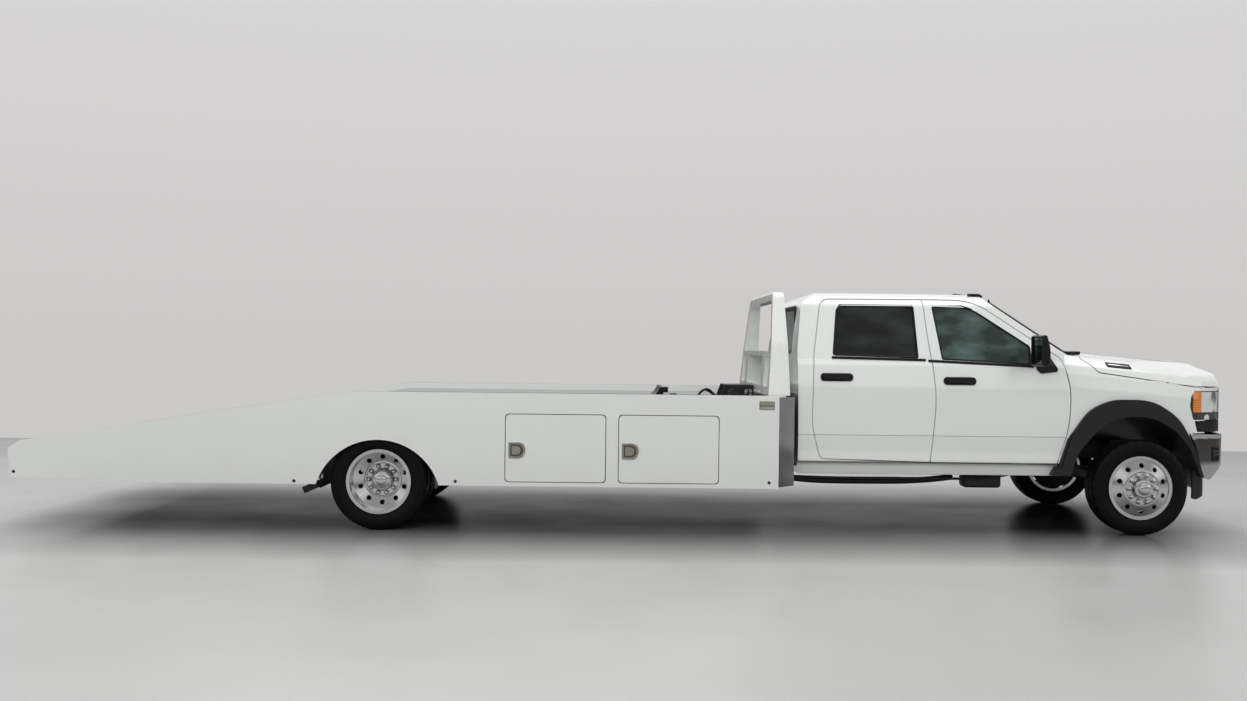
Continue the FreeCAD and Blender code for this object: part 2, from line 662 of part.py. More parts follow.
def hood_stops():
    """Rubber stops on the right apron that the closed hood rests on."""
    stops = []
    for share in HOOD_STOP_SHARES:
        foot = vec(FRONT_X + CAB_SPAN * share, -APRON_Y - SKIN_T / 2, APRON_TOP - SKIN_T)
        stop = rod(foot, foot + vec(0, 0, CAB_TOP - APRON_TOP), SKIN_T / 2)
        stops.append(stop.common(front_form(-HOOD_T - SEAT_GAP)))
    return stops


def liner_form(growth):
    """The front wheel's room: a round housing and the arch opening beside it, grown all round."""
    arch = side_prism(grown(ARCH, growth), -FLARE_INNER, -APRON_Y - SKIN_T - SEAT_GAP)
    start = vec(FRONT_X, -FLARE_INNER, TYRE_R)
    house = rod(start, start + vec(0, FLARE_INNER - APRON_Y - SKIN_T - SEAT_GAP, 0), ARCH_LINER_R + growth)
    return arch.fuse(house)


def flare():
    """Right wheel arch flare, a band over the fender's skin with a lip turned into the arch."""
    band = side_prism(FLARE, -FLARE_OUT, -FLARE_INNER - SEAT_GAP).cut(front_form(SEAT_GAP))
    lip = side_prism(grown(ARCH, FLARE_LAP - SEAT_GAP), -FLARE_OUT, -FLARE_INNER - SEAT_GAP)
    opening = side_prism(ARCH, RIGHT_OUT * 2, 0)
    foot = box(FRONT_X - CAB_SPAN, FRONT_X + CAB_SPAN, RIGHT_OUT * 2, 0, -TYRE_R, FLARE_FOOT)
    behind = box(CAB_BACK, FRONT_X - FIREWALL_X + SEAT_GAP, RIGHT_OUT * 2, 0, 0, CAB_TOP)
    sweep = side_prism(grown(FRONT_DOOR, FLARE_SWEEP_GAP), RIGHT_OUT * 2, FLARE_SWEEP_T - FLARE_OUT)
    room = [opening, foot, side_form(SEAT_GAP).common(behind), right_prism(FRONT_DOOR, FLARE_DOOR_GAP), sweep]
    return fused(band, lip).cut(room)


def grille():
    """Upright bars in a rounded frame that follows the nose."""
    behind = plan_prism(plan_outline(NOSE_SHARES, -GRILLE_DEPTH), 0, CAB_TOP)
    layer = plan_prism(plan_outline(NOSE_SHARES, 0), 0, CAB_TOP).cut(behind)
    low = CAB_TOP * GRILLE_LOW_SHARE
    high = CAB_TOP * GRILLE_TOP_SHARE
    half = LAMP_IN - SEAT_GAP
    outer = section_face(rect(-half, half, low, high, GRILLE_BAR))
    frame = section_prism(outer, FRONT_X, FRONT_X + CAB_SPAN).common(layer).common(front_side_form())
    pitch = (high - low - GRILLE_BAR) / GRILLE_BARS
    for row in range(GRILLE_BARS):
        base = low + GRILLE_BAR + row * pitch
        side = half - GRILLE_BAR
        hole = section_face(rect(-side, side, base, base + pitch - GRILLE_BAR, GRILLE_BAR / 3))
        frame = frame.cut(section_prism(hole, FRONT_X, FRONT_X + CAB_SPAN))
    return frame


def front_side_form():
    return side_prism(FRONT_SIDE, RIGHT_OUT, -RIGHT_OUT)


def bumper_layer(outer, thickness, outline):
    """A bowed layer of the front, below the grille, that an outline seen from the side bounds."""
    layer = plan_prism(plan_outline(BUMPER_PLAN_SHARES, outer), 0, CAB_TOP)
    layer = layer.cut(plan_prism(plan_outline(BUMPER_PLAN_SHARES, outer - thickness), 0, CAB_TOP))
    layer = side_prism(cab_side(outline), RIGHT_OUT - OVER, -RIGHT_OUT + OVER).common(layer)
    return max(layer.Solids, key=lambda solid: solid.Volume)


BUMPER_SHARES = [(0.10, 0.426, 0), (0.261, 0.4165, 0.01), (0.5, 0.4165, 0), (0.5, 0.2874, 0), (0.262, 0.2874, 0.02),
                 (0.216, 0.229, 0.02), (0.190, 0.243, 0), (0.10, 0.243, 0)]
DAM_SHARES = [(0.185, 0.30, 0), (0.5, 0.30, 0), (0.5, 0.165, 0), (0.245, 0.163, 0.01), (0.199, 0.139, 0.02),
              (0.185, 0.145, 0.005)]


def front_bracket(low, high, plan_growth):
    """Two brackets ahead of the frame rails, bounded by an outline seen from above."""
    bracket = box(FRONT_X + RAIL_FRONT, FRONT_X + FRONT_OVERHANG, -RAIL_OUT, BRACKET_T - RAIL_OUT, low, high)
    return both(bracket.common(plan_prism(plan_outline(BUMPER_PLAN_SHARES, plan_growth), 0, CAB_TOP)))


def bumper():
    flares = side_prism(grown(FLARE, DOOR_GAP), RIGHT_OUT * 2, -RIGHT_OUT * 2)
    shell = bumper_layer(0, BUMPER_T, BUMPER_SHARES).cut(flares)
    return fused(shell, front_bracket(RAIL_TOP - RAIL_H / 2, RAIL_TOP, -BUMPER_T / 2))


def air_dam():
    """The dark dam that hangs behind the bumper's lower edge on two brackets."""
    shell = bumper_layer(-DAM_IN, SKIN_T, DAM_SHARES)
    low = RAIL_TOP - RAIL_H
    return fused(shell, front_bracket(low, low + RAIL_T, -DAM_IN - SKIN_T / 2))


# Wheels

def revolved(points, centre):
    """Turn an outline of (y, radius, corner radius) about the wheel's axis."""
    face = rounded_face(points, section_point)
    return face.revolve(ORIGIN, Y_AXIS, 360).translated(centre)


def tyre(centre):
    half = TYRE_W / 2
    bead = BEAD_W / 2
    shoulder = half - CROWN_DROP
    bore = RIM_R + SEAT_GAP
    lip = RIM_R + RIM_LIP + SEAT_GAP
    tread = TYRE_R - CROWN_DROP
    points = [(-bead, bore, 0), (bead, bore, 0), (bead, lip, 0), (half, SIDEWALL_R, WALL_ROUND),
              (shoulder, tread, SHOULDER_ROUND), (0, TYRE_R, 0), (-shoulder, tread, SHOULDER_ROUND),
              (-half, SIDEWALL_R, WALL_ROUND), (-bead, lip, 0)]
    return revolved(points, centre)


def rim(centre, disc_y, out, cap_r, bore):
    """A barrel with lips, a disc with hand holes, a hub ring, studs and a cap. Out is plus or minus one."""
    half = BEAD_W / 2
    lip = half + RIM_LIP_W
    inner = RIM_R - RIM_WALL
    barrel = [(-lip, inner, 0), (lip, inner, 0), (lip, RIM_R + RIM_LIP, 0), (half + SEAT_GAP, RIM_R + RIM_LIP, 0),
              (half + SEAT_GAP, RIM_R, 0), (-half - SEAT_GAP, RIM_R, 0), (-half - SEAT_GAP, RIM_R + RIM_LIP, 0),
              (-lip, RIM_R + RIM_LIP, 0)]
    wheel = revolved(barrel, centre)
    face = disc_y + out * DISC_T
    rise = math.copysign(DISC_RISE, disc_y)
    seat = inner + RIM_WALL / 2
    disc = [(disc_y - rise, seat, 0), (disc_y, HUB_RING_R, HUB_ROUND), (disc_y, bore, 0), (face, bore, 0),
            (face, HUB_RING_R, HUB_ROUND), (face - rise, seat, 0)]
    wheel = fused(wheel, revolved(disc, centre))
    cap_face = face + out * LUG_L
    cap = [(face - out * DISC_T / 2, bore, 0), (cap_face, bore, 0), (cap_face, cap_r, CAP_ROUND),
           (face - out * DISC_T / 2, cap_r, 0)]
    wheel = fused(wheel, revolved(cap, centre))
    holes = []
    studs = []
    for i in range(HAND_HOLES):
        turn = 360.0 * i / HAND_HOLES
        start = centre + vec(0, disc_y - out * HUB_RING_R, HAND_HOLE_RING)
        hole = rod(start, start + vec(0, out * HUB_RING_R * 2, 0), HAND_HOLE_R)
        holes.append(hole.rotate(centre, Y_AXIS, turn))
    for i in range(LUGS):
        turn = 360.0 * (i + 0.5) / LUGS
        start = centre + vec(0, face - out * DISC_T / 2, LUG_RING)
        stud = rod(start, start + vec(0, out * (LUG_L + DISC_T / 2), 0), LUG_R)
        studs.append(stud.rotate(centre, Y_AXIS, turn))
    return fused(wheel.cut(holes), *studs)


def closed_cap(centre, start, end, radius):
    """The middle of a hub cap, which covers the hub's bore."""
    return rod(centre + vec(0, start, 0), centre + vec(0, end, 0), radius)


def front_wheel():
    """Right front wheel: the disc stands well out, so the face is convex."""
    centre = vec(FRONT_X, -FRONT_TRACK / 2, TYRE_R)
    disc_y = -FRONT_DISC_OUT
    face = disc_y - DISC_T
    wheel = rim(centre, disc_y, -1, HUB_CAP_R, SPINDLE_R + FIT)
    cap = closed_cap(centre, face - LUG_L, face - LUG_L - DISC_T, HUB_CAP_TIP_R)
    hub = rod(centre + vec(0, HUB_L / 2 - OVER, 0), centre + vec(0, disc_y, 0), HUB_R)
    bore = rod(centre + vec(0, HUB_L, 0), centre + vec(0, face - LUG_L, 0), SPINDLE_R + FIT)
    return fused(wheel, cap, hub).cut(bore)


def rear_wheels():
    """Right rear pair: both discs meet between the tyres, and the outer face is a deep dish."""
    outer = vec(REAR_X, -REAR_TRACK / 2 - TWIN_SPACING / 2, TYRE_R)
    inner = vec(REAR_X, -REAR_TRACK / 2 + TWIN_SPACING / 2, TYRE_R)
    outer_disc = REAR_DISC_IN
    outside = rim(outer, outer_disc, -1, REAR_CAP_R, SPINDLE_R + FIT)
    inside = rim(inner, -REAR_DISC_IN, 1, REAR_CAP_R, SPINDLE_R + FIT)
    cap = closed_cap(outer, outer_disc - DISC_T - LUG_L, outer_disc - DISC_T - LUG_L * 2, REAR_CAP_R)
    hub = rod(outer + vec(0, outer_disc, 0), inner + vec(0, -REAR_DISC_IN, 0), HUB_R)
    bore = rod(inner + vec(0, HUB_L, 0), outer + vec(0, outer_disc - DISC_T - LUG_L, 0), SPINDLE_R + FIT)
    return fused(outside, inside, hub, cap).cut(bore)


def rear_tyres():
    outer = tyre(vec(REAR_X, -REAR_TRACK / 2 - TWIN_SPACING / 2, TYRE_R))
    inner = tyre(vec(REAR_X, -REAR_TRACK / 2 + TWIN_SPACING / 2, TYRE_R))
    return Part.makeCompound([outer, inner])


# Chassis

def channel(x0, x1):
    """Right frame rail as its web and two flanges, open towards the middle."""
    low = RAIL_TOP - RAIL_H
    web = box(x0, x1, -RAIL_OUT, RAIL_T - RAIL_OUT, low, RAIL_TOP)
    bottom = box(x0, x1, RAIL_T - RAIL_OUT, RAIL_FLANGE - RAIL_OUT, low, low + RAIL_T)
    top = box(x0, x1, RAIL_T - RAIL_OUT, RAIL_FLANGE - RAIL_OUT, RAIL_TOP - RAIL_T, RAIL_TOP)
    return Part.makeCompound([web, bottom, top])


CROSS_SHARES = (0.025, 0.30, 0.44, 0.56, 0.68, 0.80, 0.985)


def chassis_members():
    """The frame's cross members, between the webs and on the bottom flanges."""
    front = FRONT_X + RAIL_FRONT
    rear = REAR_X - RAIL_REAR_END
    web = RAIL_OUT - RAIL_T
    low = RAIL_TOP - RAIL_H + RAIL_T
    members = []
    for share in CROSS_SHARES:
        x = front + (rear - front) * share
        members.append(box(x - CROSS_T / 2, x + CROSS_T / 2, -web, web, low, low + CROSS_H))
    return members


def chassis_frame():
    parts = [both(channel(REAR_X - RAIL_REAR_END, FRONT_X + RAIL_FRONT))] + chassis_members()
    for x in (REAR_X - LEAF_HALF, REAR_X + LEAF_HALF):
        hanger = box(x - CROSS_T / 2, x + CROSS_T / 2, -SPRING_Y - LEAF_W / 2, -RAIL_OUT,
                     leaf_end_z() + LEAF_T / 2, RAIL_TOP - RAIL_T)
        parts.append(both(hanger))
    low = RAIL_TOP - CROSS_H
    seat = rod(vec(FRONT_X, -SPRING_Y, low), vec(FRONT_X, -SPRING_Y, RAIL_TOP - RAIL_T), COIL_R)
    seat = seat.common(box(FRONT_X - COIL_R, FRONT_X + COIL_R, -BED_HALF, -RAIL_OUT, low, RAIL_TOP))
    arm = box(FRONT_X - COIL_R, FRONT_X + COIL_R, -SPRING_Y, -RAIL_OUT, low, RAIL_TOP - RAIL_T)
    return parts + [both(fused(seat, arm))]


def leaf_end_z():
    return TYRE_R + AXLE_R + LEAF_T / 2 + LEAF_RISE


def leaf_pack():
    """Right rear leaf spring, bowed down to the axle's top."""
    low = TYRE_R + AXLE_R
    high = leaf_end_z() - LEAF_T / 2
    under = Part.Arc(vec(REAR_X - LEAF_HALF, 0, high), vec(REAR_X, 0, low), vec(REAR_X + LEAF_HALF, 0, high))
    over = Part.Arc(vec(REAR_X + LEAF_HALF, 0, high + LEAF_T), vec(REAR_X, 0, low + LEAF_T * 2),
                    vec(REAR_X - LEAF_HALF, 0, high + LEAF_T))
    front = Part.LineSegment(vec(REAR_X + LEAF_HALF, 0, high), vec(REAR_X + LEAF_HALF, 0, high + LEAF_T))
    back = Part.LineSegment(vec(REAR_X - LEAF_HALF, 0, high + LEAF_T), vec(REAR_X - LEAF_HALF, 0, high))
    wire = Part.Wire([under.toShape(), front.toShape(), over.toShape(), back.toShape()])
    return side_prism(Part.Face(wire), -SPRING_Y - LEAF_W / 2, -SPRING_Y + LEAF_W / 2)


def rear_axle():
    inner_face = REAR_TRACK / 2 - TWIN_SPACING / 2 - BEAD_W / 2
    tube = rod(vec(REAR_X, -inner_face, TYRE_R), vec(REAR_X, inner_face, TYRE_R), AXLE_R)
    reach = REAR_TRACK / 2
    spindle = rod(vec(REAR_X, -reach, TYRE_R), vec(REAR_X, reach, TYRE_R), SPINDLE_R)
    bowl = Part.makeSphere(DIFF_R, vec(REAR_X, 0, TYRE_R))
    keep = box(REAR_X - DIFF_R, REAR_X + DIFF_R, -DIFF_W / 2, DIFF_W / 2, 0, TYRE_R * 2)
    saddle = box(REAR_X - LEAF_W, REAR_X + LEAF_W, -SPRING_Y - LEAF_W / 2, -SPRING_Y + LEAF_W / 2,
                 TYRE_R, TYRE_R + AXLE_R + LEAF_T)
    return fused(tube, spindle, bowl.common(keep), both(saddle), both(leaf_pack()))


def front_axle():
    reach = KINGPIN_Y - EAR_R
    beam = rod(vec(FRONT_X, -reach, TYRE_R), vec(FRONT_X, reach, TYRE_R), AXLE_R)
    beam = beam.cut(both(knuckle_room()))
    ears = []
    for z in (TYRE_R + KNUCKLE_H / 2, TYRE_R - KNUCKLE_H / 2 - EAR_T):
        ear = rod(vec(FRONT_X, -KINGPIN_Y, z), vec(FRONT_X, -KINGPIN_Y, z + EAR_T), EAR_R)
        arm = box(FRONT_X - EAR_R, FRONT_X + EAR_R, -KINGPIN_Y, EAR_R * 2 - KINGPIN_Y, z, z + EAR_T)
        ears.append(both(ear.fuse(arm)))
    web = box(FRONT_X - EAR_R, FRONT_X + EAR_R, EAR_R - KINGPIN_Y + BOX_GAP, EAR_R * 2 - KINGPIN_Y,
              TYRE_R - KNUCKLE_H / 2, TYRE_R + KNUCKLE_H / 2)
    bottom = vec(FRONT_X, -KINGPIN_Y, TYRE_R - KNUCKLE_H)
    bore = rod(bottom, bottom + vec(0, 0, KNUCKLE_H * 2), KINGPIN_R + FIT)
    coil_foot = vec(FRONT_X, -SPRING_Y, TYRE_R)
    coil = coil_spring(TYRE_R + AXLE_R - EAR_T / 2, RAIL_TOP - CROSS_H)
    seat = rod(coil_foot, coil_foot + vec(0, 0, AXLE_R), COIL_R)
    return fused(beam, *ears, both(web), both(seat), both(coil)).cut(both(bore))


def knuckle_room():
    return rod(vec(FRONT_X, -KINGPIN_Y, 0), vec(FRONT_X, -KINGPIN_Y, TYRE_R * 2), EAR_R + BOX_GAP)


def coil_spring(low, high):
    """Right front coil spring as a turned stack of its turns."""
    turns = int((high - low) / (COIL_WIRE * 2))
    pitch = (high - low) / turns
    points = [(0, low, 0)]
    for i in range(turns):
        base = low + i * pitch
        points += [(COIL_R - COIL_WIRE / 2, base, 0), (COIL_R, base + pitch / 2, 0)]
    points += [(COIL_R - COIL_WIRE / 2, high, 0), (0, high, 0)]
    face = rounded_face(points, side_point)
    return face.revolve(ORIGIN, Z_AXIS, 360).translated(vec(FRONT_X, -SPRING_Y, 0))


def knuckle():
    """Right steering knuckle with its kingpin and the spindle that carries the wheel."""
    low = TYRE_R - KNUCKLE_H / 2 + SEAT_GAP
    high = TYRE_R + KNUCKLE_H / 2 - SEAT_GAP
    body = rod(vec(FRONT_X, -KINGPIN_Y, low), vec(FRONT_X, -KINGPIN_Y, high), EAR_R)
    pin = rod(vec(FRONT_X, -KINGPIN_Y, low - EAR_T), vec(FRONT_X, -KINGPIN_Y, high + EAR_T), KINGPIN_R)
    reach = -FRONT_TRACK / 2 - FRONT_DISC_OUT
    spindle = rod(vec(FRONT_X, -KINGPIN_Y, TYRE_R), vec(FRONT_X, reach, TYRE_R), SPINDLE_R)
    return fused(body, pin, spindle)


ENGINE_FRONT_SHARE = 0.1536
ENGINE_BACK_SHARE = 0.1804
ENGINE_HALF = 325.0
ENGINE_LOW = 560.0
ENGINE_TOP = 1215.0
SUMP_FRONT = 126.0
GEARBOX_R = 190.0
GEARBOX_TAIL_R = 105.0
GEARBOX_L = 1000.0
SHAFT_R = 45.0
RADIATOR_SHARE = 0.2107
RADIATOR_T = 60.0
RADIATOR_HALF = 420.0
RADIATOR_TOP = 1150.0


def powertrain():
    """Engine as one plain block, then its sump, mounts, gearbox, propeller shaft and radiator, face to face."""
    members = RAIL_TOP - RAIL_H + RAIL_T
    low = members + CROSS_H
    engine_back = FRONT_X - CAB_SPAN * ENGINE_BACK_SHARE
    engine_front = FRONT_X + CAB_SPAN * ENGINE_FRONT_SHARE
    engine = box(engine_back, engine_front, -ENGINE_HALF, ENGINE_HALF, low, ENGINE_TOP)
    sump = box(engine_back, FRONT_X - SUMP_FRONT, -ENGINE_HALF / 2, ENGINE_HALF / 2, ENGINE_LOW, low)
    mount = box(FRONT_X - COIL_R, FRONT_X + COIL_R, -RAIL_OUT + RAIL_FLANGE / 2, -ENGINE_HALF,
                RAIL_TOP, RAIL_TOP + CROSS_T)
    start = vec(engine_back, 0, FLOOR_Z - GEARBOX_R - RAIL_T)
    gearbox = Part.makeCone(GEARBOX_R, GEARBOX_TAIL_R, GEARBOX_L, start, -X_AXIS)
    back = vec(engine_back - GEARBOX_L, 0, members - BOX_GAP - SHAFT_R)
    shaft = rod(back, vec(REAR_X + DIFF_R + SEAT_GAP, 0, TYRE_R + SHAFT_R), SHAFT_R)
    shaft = shaft.cut(box(back.x, FRONT_X, -SHAFT_R, SHAFT_R, 0, FLOOR_Z))
    radiator_x = FRONT_X + CAB_SPAN * RADIATOR_SHARE
    radiator = box(radiator_x, radiator_x + RADIATOR_T, -RADIATOR_HALF, RADIATOR_HALF, RAIL_TOP, RADIATOR_TOP)
    return [engine, sump, both(mount), gearbox, shaft, radiator]


TANK_FRONT_SHARE = 0.2406
TANK_BACK_SHARE = 0.4330
TANK_IN = 445.0
TANK_OUT = 640.0
TANK_LOW = 400.0
TANK_TOP = 735.0
TANK_R = 45.0
STRAP_T = 12.0
STRAP_W = 50.0
STRAP_SHARES = (0.2, 0.8)


def fuel_tank():
    """Left tank slung beside the frame rail on two strap brackets."""
    front = FRONT_X - WHEELBASE * TANK_FRONT_SHARE
    length = WHEELBASE * (TANK_BACK_SHARE - TANK_FRONT_SHARE)
    body = section_face(rect(TANK_IN, TANK_OUT, TANK_LOW, TANK_TOP, TANK_R))
    tank = section_prism(body, front - length, front)
    straps = []
    for share in STRAP_SHARES:
        x = front - length * share
        band = section_face(rect(RAIL_OUT, TANK_OUT + STRAP_T, TANK_LOW - STRAP_T, TANK_TOP + STRAP_T, TANK_R))
        straps.append(section_prism(band, x - STRAP_W / 2, x + STRAP_W / 2))
    return fused(tank, *straps)


MUFFLER_R = 100.0
MUFFLER_Y = 546.0
MUFFLER_Z = 540.0
MUFFLER_FRONT_SHARE = 0.2165
MUFFLER_BACK_SHARE = 0.4250
TAIL_PIPE_SHARE = 0.5052
PIPE_R = 45.0
MUFFLER_HANGER_SHARES = (0.15, 0.85)


def exhaust():
    """Right exhaust canister with its pipes, hung from the frame rail."""
    front = vec(FRONT_X - WHEELBASE * MUFFLER_FRONT_SHARE, -MUFFLER_Y, MUFFLER_Z)
    back = vec(FRONT_X - WHEELBASE * MUFFLER_BACK_SHARE, -MUFFLER_Y, MUFFLER_Z)
    can = rod(front, back, MUFFLER_R)
    can = can.makeFillet(PIPE_R / 2, [edge for edge in can.Edges if abs(edge.BoundBox.XLength) < 1])
    lead = rod(back, vec(FRONT_X - WHEELBASE * TAIL_PIPE_SHARE, -MUFFLER_Y, MUFFLER_Z), PIPE_R)
    feed = rod(front, front + vec(MUFFLER_R * 2, 0, 0), PIPE_R)
    hangers = []
    top = RAIL_TOP - RAIL_T * 2
    for share in MUFFLER_HANGER_SHARES:
        x = front.x + (back.x - front.x) * share
        hangers.append(box(x - STRAP_W / 2, x + STRAP_W / 2, -MUFFLER_Y, -RAIL_OUT, MUFFLER_Z, top))
    return fused(can, lead, feed, *hangers)


# Cab fittings

ROOF_LAMP_L = 120.0
ROOF_LAMP_W = 75.0
ROOF_LAMP_H = 22.0
ROOF_LAMP_X_SHARE = 0.468
ROOF_LAMP_SHARES = (-0.60, -0.16, 0.0, 0.16, 0.60)


def cab_form(growth):
    """The cab's whole outer form, grown or shrunk."""
    side = side_prism(grown(cab_side(CAB_SIDE_SHARES), growth), RIGHT_OUT, -RIGHT_OUT)
    return side_form(growth).common(side).common(screen_form(-growth))


def roof_lamps():
    """Five marker lamps that sit on the roof's front edge."""
    roof = cab_form(SEAT_GAP)
    cover = cab_form(ROOF_LAMP_H)
    x = FRONT_X - CAB_SPAN * ROOF_LAMP_X_SHARE
    lamps = []
    for share in ROOF_LAMP_SHARES:
        y = share * CAB_HALF
        outline = plan_face(rect(x, x + ROOF_LAMP_L, y - ROOF_LAMP_W / 2, y + ROOF_LAMP_W / 2, ROOF_LAMP_W / 3))
        lamp = plan_prism(outline, CAB_TOP - ROOF_LAMP_L, CAB_TOP + ROOF_LAMP_L)
        lamps.append(lamp.common(cover).cut(roof))
    return lamps


HANDLE_L = 268.0
HANDLE_H = 65.0
HANDLE_T = 34.0
HANDLE_ROUND = 29.0
BEZEL_T = 10.0
GRIP_BACK = 23.0
GRIP_FRONT = 59.0
GRIP_LOW = 17.0
GRIP_HIGH = 20.0
GRIP_ROUND = 13.0
GRIP_T = 15.0
GRIP_END_L = 26.0
GRIP_END_ROUND = 10.0
HANDLE_SHARES = (-0.5305, 0.6305)
REAR_HANDLE_SHARES = (-0.8935, 0.641)


def door_layer(outline, out, inner):
    """An outline seen from the side, as a layer outside the right door's skin."""
    return right_prism(side_face(outline), 0).common(side_form(out)).cut(side_form(inner))


def door_handle(place):
    """A pull handle on its bezel, which follows the door's skin."""
    x = FRONT_X + place[0] * CAB_SPAN
    z = place[1] * CAB_TOP
    half = HANDLE_L / 2
    low = z - GRIP_LOW
    high = z + GRIP_HIGH
    bezel = door_layer(rect(x - half, x + half, z - HANDLE_H / 2, z + HANDLE_H / 2, HANDLE_ROUND), BEZEL_T, SEAT_GAP)
    rear = x - half + GRIP_BACK
    front = x + half - GRIP_FRONT
    pull = door_layer(rect(rear, front, low, high, GRIP_ROUND), HANDLE_T, HANDLE_T - GRIP_T)
    ends = []
    for start in (rear, front - GRIP_END_L):
        end = rect(start, start + GRIP_END_L, low, high, GRIP_END_ROUND)
        ends.append(door_layer(end, HANDLE_T - GRIP_T / 2, BEZEL_T / 2))
    return fused(bezel, pull, *ends)


MIRROR_SHARES = [(-0.338, 0.817, 0.015), (-0.3385, 0.700, 0.015), (-0.326, 0.695, 0.02), (-0.3135, 0.710, 0.03),
                 (-0.313, 0.765, 0.2), (-0.3235, 0.822, 0.02), (-0.333, 0.823, 0.02)]
SAIL_SHARES = [(-0.3029, 0.6832, 0.01), (-0.2901, 0.6656, 0.01), (-0.2363, 0.6739, 0.01), (-0.2591, 0.7402, 0.02),
               (-0.3025, 0.7402, 0.01)]
MIRROR_FACE_SHARE = 0.3340
MIRROR_RIM = 14.0
MIRROR_IN = 1130.0
MIRROR_OUT = 1385.0
MIRROR_ARM_R = 15.0
MIRROR_ARM_SHARES = (0.705, 0.730)
ARM_FOOT_SHARE = 0.285
ARM_HEAD_SHARE = 0.3245
ARM_START_SHARE = 0.85


def mirror():
    """Right tow mirror: a head on two arms from the foot at the window's front corner."""
    outline = cab_side(MIRROR_SHARES)
    head = side_prism(outline, -MIRROR_OUT, -MIRROR_IN)
    head = rounded_head(head)
    glass_room = side_prism(grown(outline, -MIRROR_RIM), -MIRROR_OUT + MIRROR_RIM, -MIRROR_IN - MIRROR_RIM)
    face = FRONT_X - CAB_SPAN * MIRROR_FACE_SHARE
    room = box(face - OVER, face, -MIRROR_OUT + MIRROR_RIM, -MIRROR_IN - MIRROR_RIM,
               glass_room.BoundBox.ZMin, glass_room.BoundBox.ZMax)
    head = head.cut(room)
    foot = right_prism(cab_side(SAIL_SHARES), 0).common(side_form(LIP_T)).cut(side_form(SEAT_GAP))
    arms = []
    for share in MIRROR_ARM_SHARES:
        z = CAB_TOP * share
        start = vec(FRONT_X - CAB_SPAN * ARM_FOOT_SHARE, -CAB_HALF * ARM_START_SHARE, z)
        end = vec(FRONT_X - CAB_SPAN * ARM_HEAD_SHARE, -MIRROR_IN - MIRROR_ARM_R, z)
        arms.append(rod(start, end, MIRROR_ARM_R).cut(side_form(LIP_T / 2)))
    return fused(head, foot, *arms)


def rounded_head(head):
    """Round the mirror head's outer face, where the wind meets it."""
    edges = [edge for edge in head.Edges if edge.BoundBox.YMax < -MIRROR_OUT + 1]
    return head.makeFillet(MIRROR_ARM_R, edges)


SEAT_H = 330.0
SEAT_W = 520.0
SEAT_L_SHARE = 0.1857
SEAT_L = CAB_SPAN * SEAT_L_SHARE
SEAT_BACK_T = 150.0
SEAT_BACK_H = 600.0
SEAT_LEAN = 75.0
SEAT_BACK_LEAN = 60.0
SEAT_ROUND = 45.0
SEAT_FOLD = 15.0
SEAT_FRONT_SHARE = 0.3857
BENCH_FRONT_SHARE = 0.7071
BENCH_HALF = 640.0
FRONT_SEAT_Y = 400.0
HEADREST_W = 260.0
HEADREST_H = 100.0
HEADREST_T = 84.0
HEADREST_ROUND = 31.0


def seat(front_share, y0, y1, rests):
    """A seat seen from the side, drawn once and as wide as asked: its cushion, its back and its headrests."""
    x = FRONT_X - CAB_SPAN * front_share
    floor = FLOOR_Z + FLOOR_T
    top = floor + SEAT_H
    head = top + SEAT_BACK_H
    fold = x - SEAT_L
    back = fold - SEAT_BACK_T
    cushion = side_face([(x, floor, 0), (x, top, SEAT_ROUND), (fold, top, SEAT_FOLD), (fold, floor, 0)])
    rest = side_face([(fold, floor, 0), (fold, top, 0), (fold - SEAT_LEAN, head, SEAT_ROUND),
                      (back - SEAT_BACK_LEAN, head, SEAT_ROUND), (back, floor, 0)])
    parts = [side_prism(cushion, y0, y1), side_prism(rest, y0, y1)]
    middle = (fold - SEAT_LEAN + back - SEAT_BACK_LEAN) / 2
    for y in rests:
        pad = plan_face(rect(middle - HEADREST_T / 2, middle + HEADREST_T / 2, y - HEADREST_W / 2,
                             y + HEADREST_W / 2, HEADREST_ROUND))
        parts.append(plan_prism(pad, head, head + HEADREST_H))
    return Part.makeCompound(parts)


def seats():
    right = seat(SEAT_FRONT_SHARE, -FRONT_SEAT_Y - SEAT_W / 2, -FRONT_SEAT_Y + SEAT_W / 2, [-FRONT_SEAT_Y])
    bench = seat(BENCH_FRONT_SHARE, -BENCH_HALF, BENCH_HALF, [-FRONT_SEAT_Y, FRONT_SEAT_Y])
    return [both(right), bench]


DASH_SHARES = [(-0.2282, 0.50, 0), (-0.2282, 0.728, 0), (-0.260, 0.722, 0.03), (-0.330, 0.690, 0.03),
               (-0.335, 0.62, 0.03), (-0.275, 0.50, 0.02)]
DASH_HALF = 850.0
WHEEL_R = 190.0
WHEEL_GRIP_R = 15.0
COLUMN_R = 32.0
COLUMN_TILT = 62.0
COLUMN_L = 266.0
COLUMN_X_SHARE = 0.3839
HORN_R = 64.0
SPOKE_R = 13.5
COLUMN_Z = 1370.0


def dashboard():
    """Dashboard across the cab with the steering column and wheel on the left."""
    dash = side_prism(cab_side(DASH_SHARES), -DASH_HALF, DASH_HALF)
    centre = vec(FRONT_X - CAB_SPAN * COLUMN_X_SHARE, FRONT_SEAT_Y, COLUMN_Z)
    tilt = math.radians(COLUMN_TILT)
    along = vec(-math.sin(tilt), 0, math.cos(tilt))
    column = rod(centre - along * COLUMN_L, centre, COLUMN_R)
    ring = Part.makeTorus(WHEEL_R, WHEEL_GRIP_R, centre, along)
    hub = rod(centre - along * WHEEL_GRIP_R, centre + along * WHEEL_GRIP_R, HORN_R)
    spoke = rod(centre - vec(0, WHEEL_R, 0), centre + vec(0, WHEEL_R, 0), SPOKE_R)
    return fused(dash, column, ring, hub, spoke)


# Flatbed

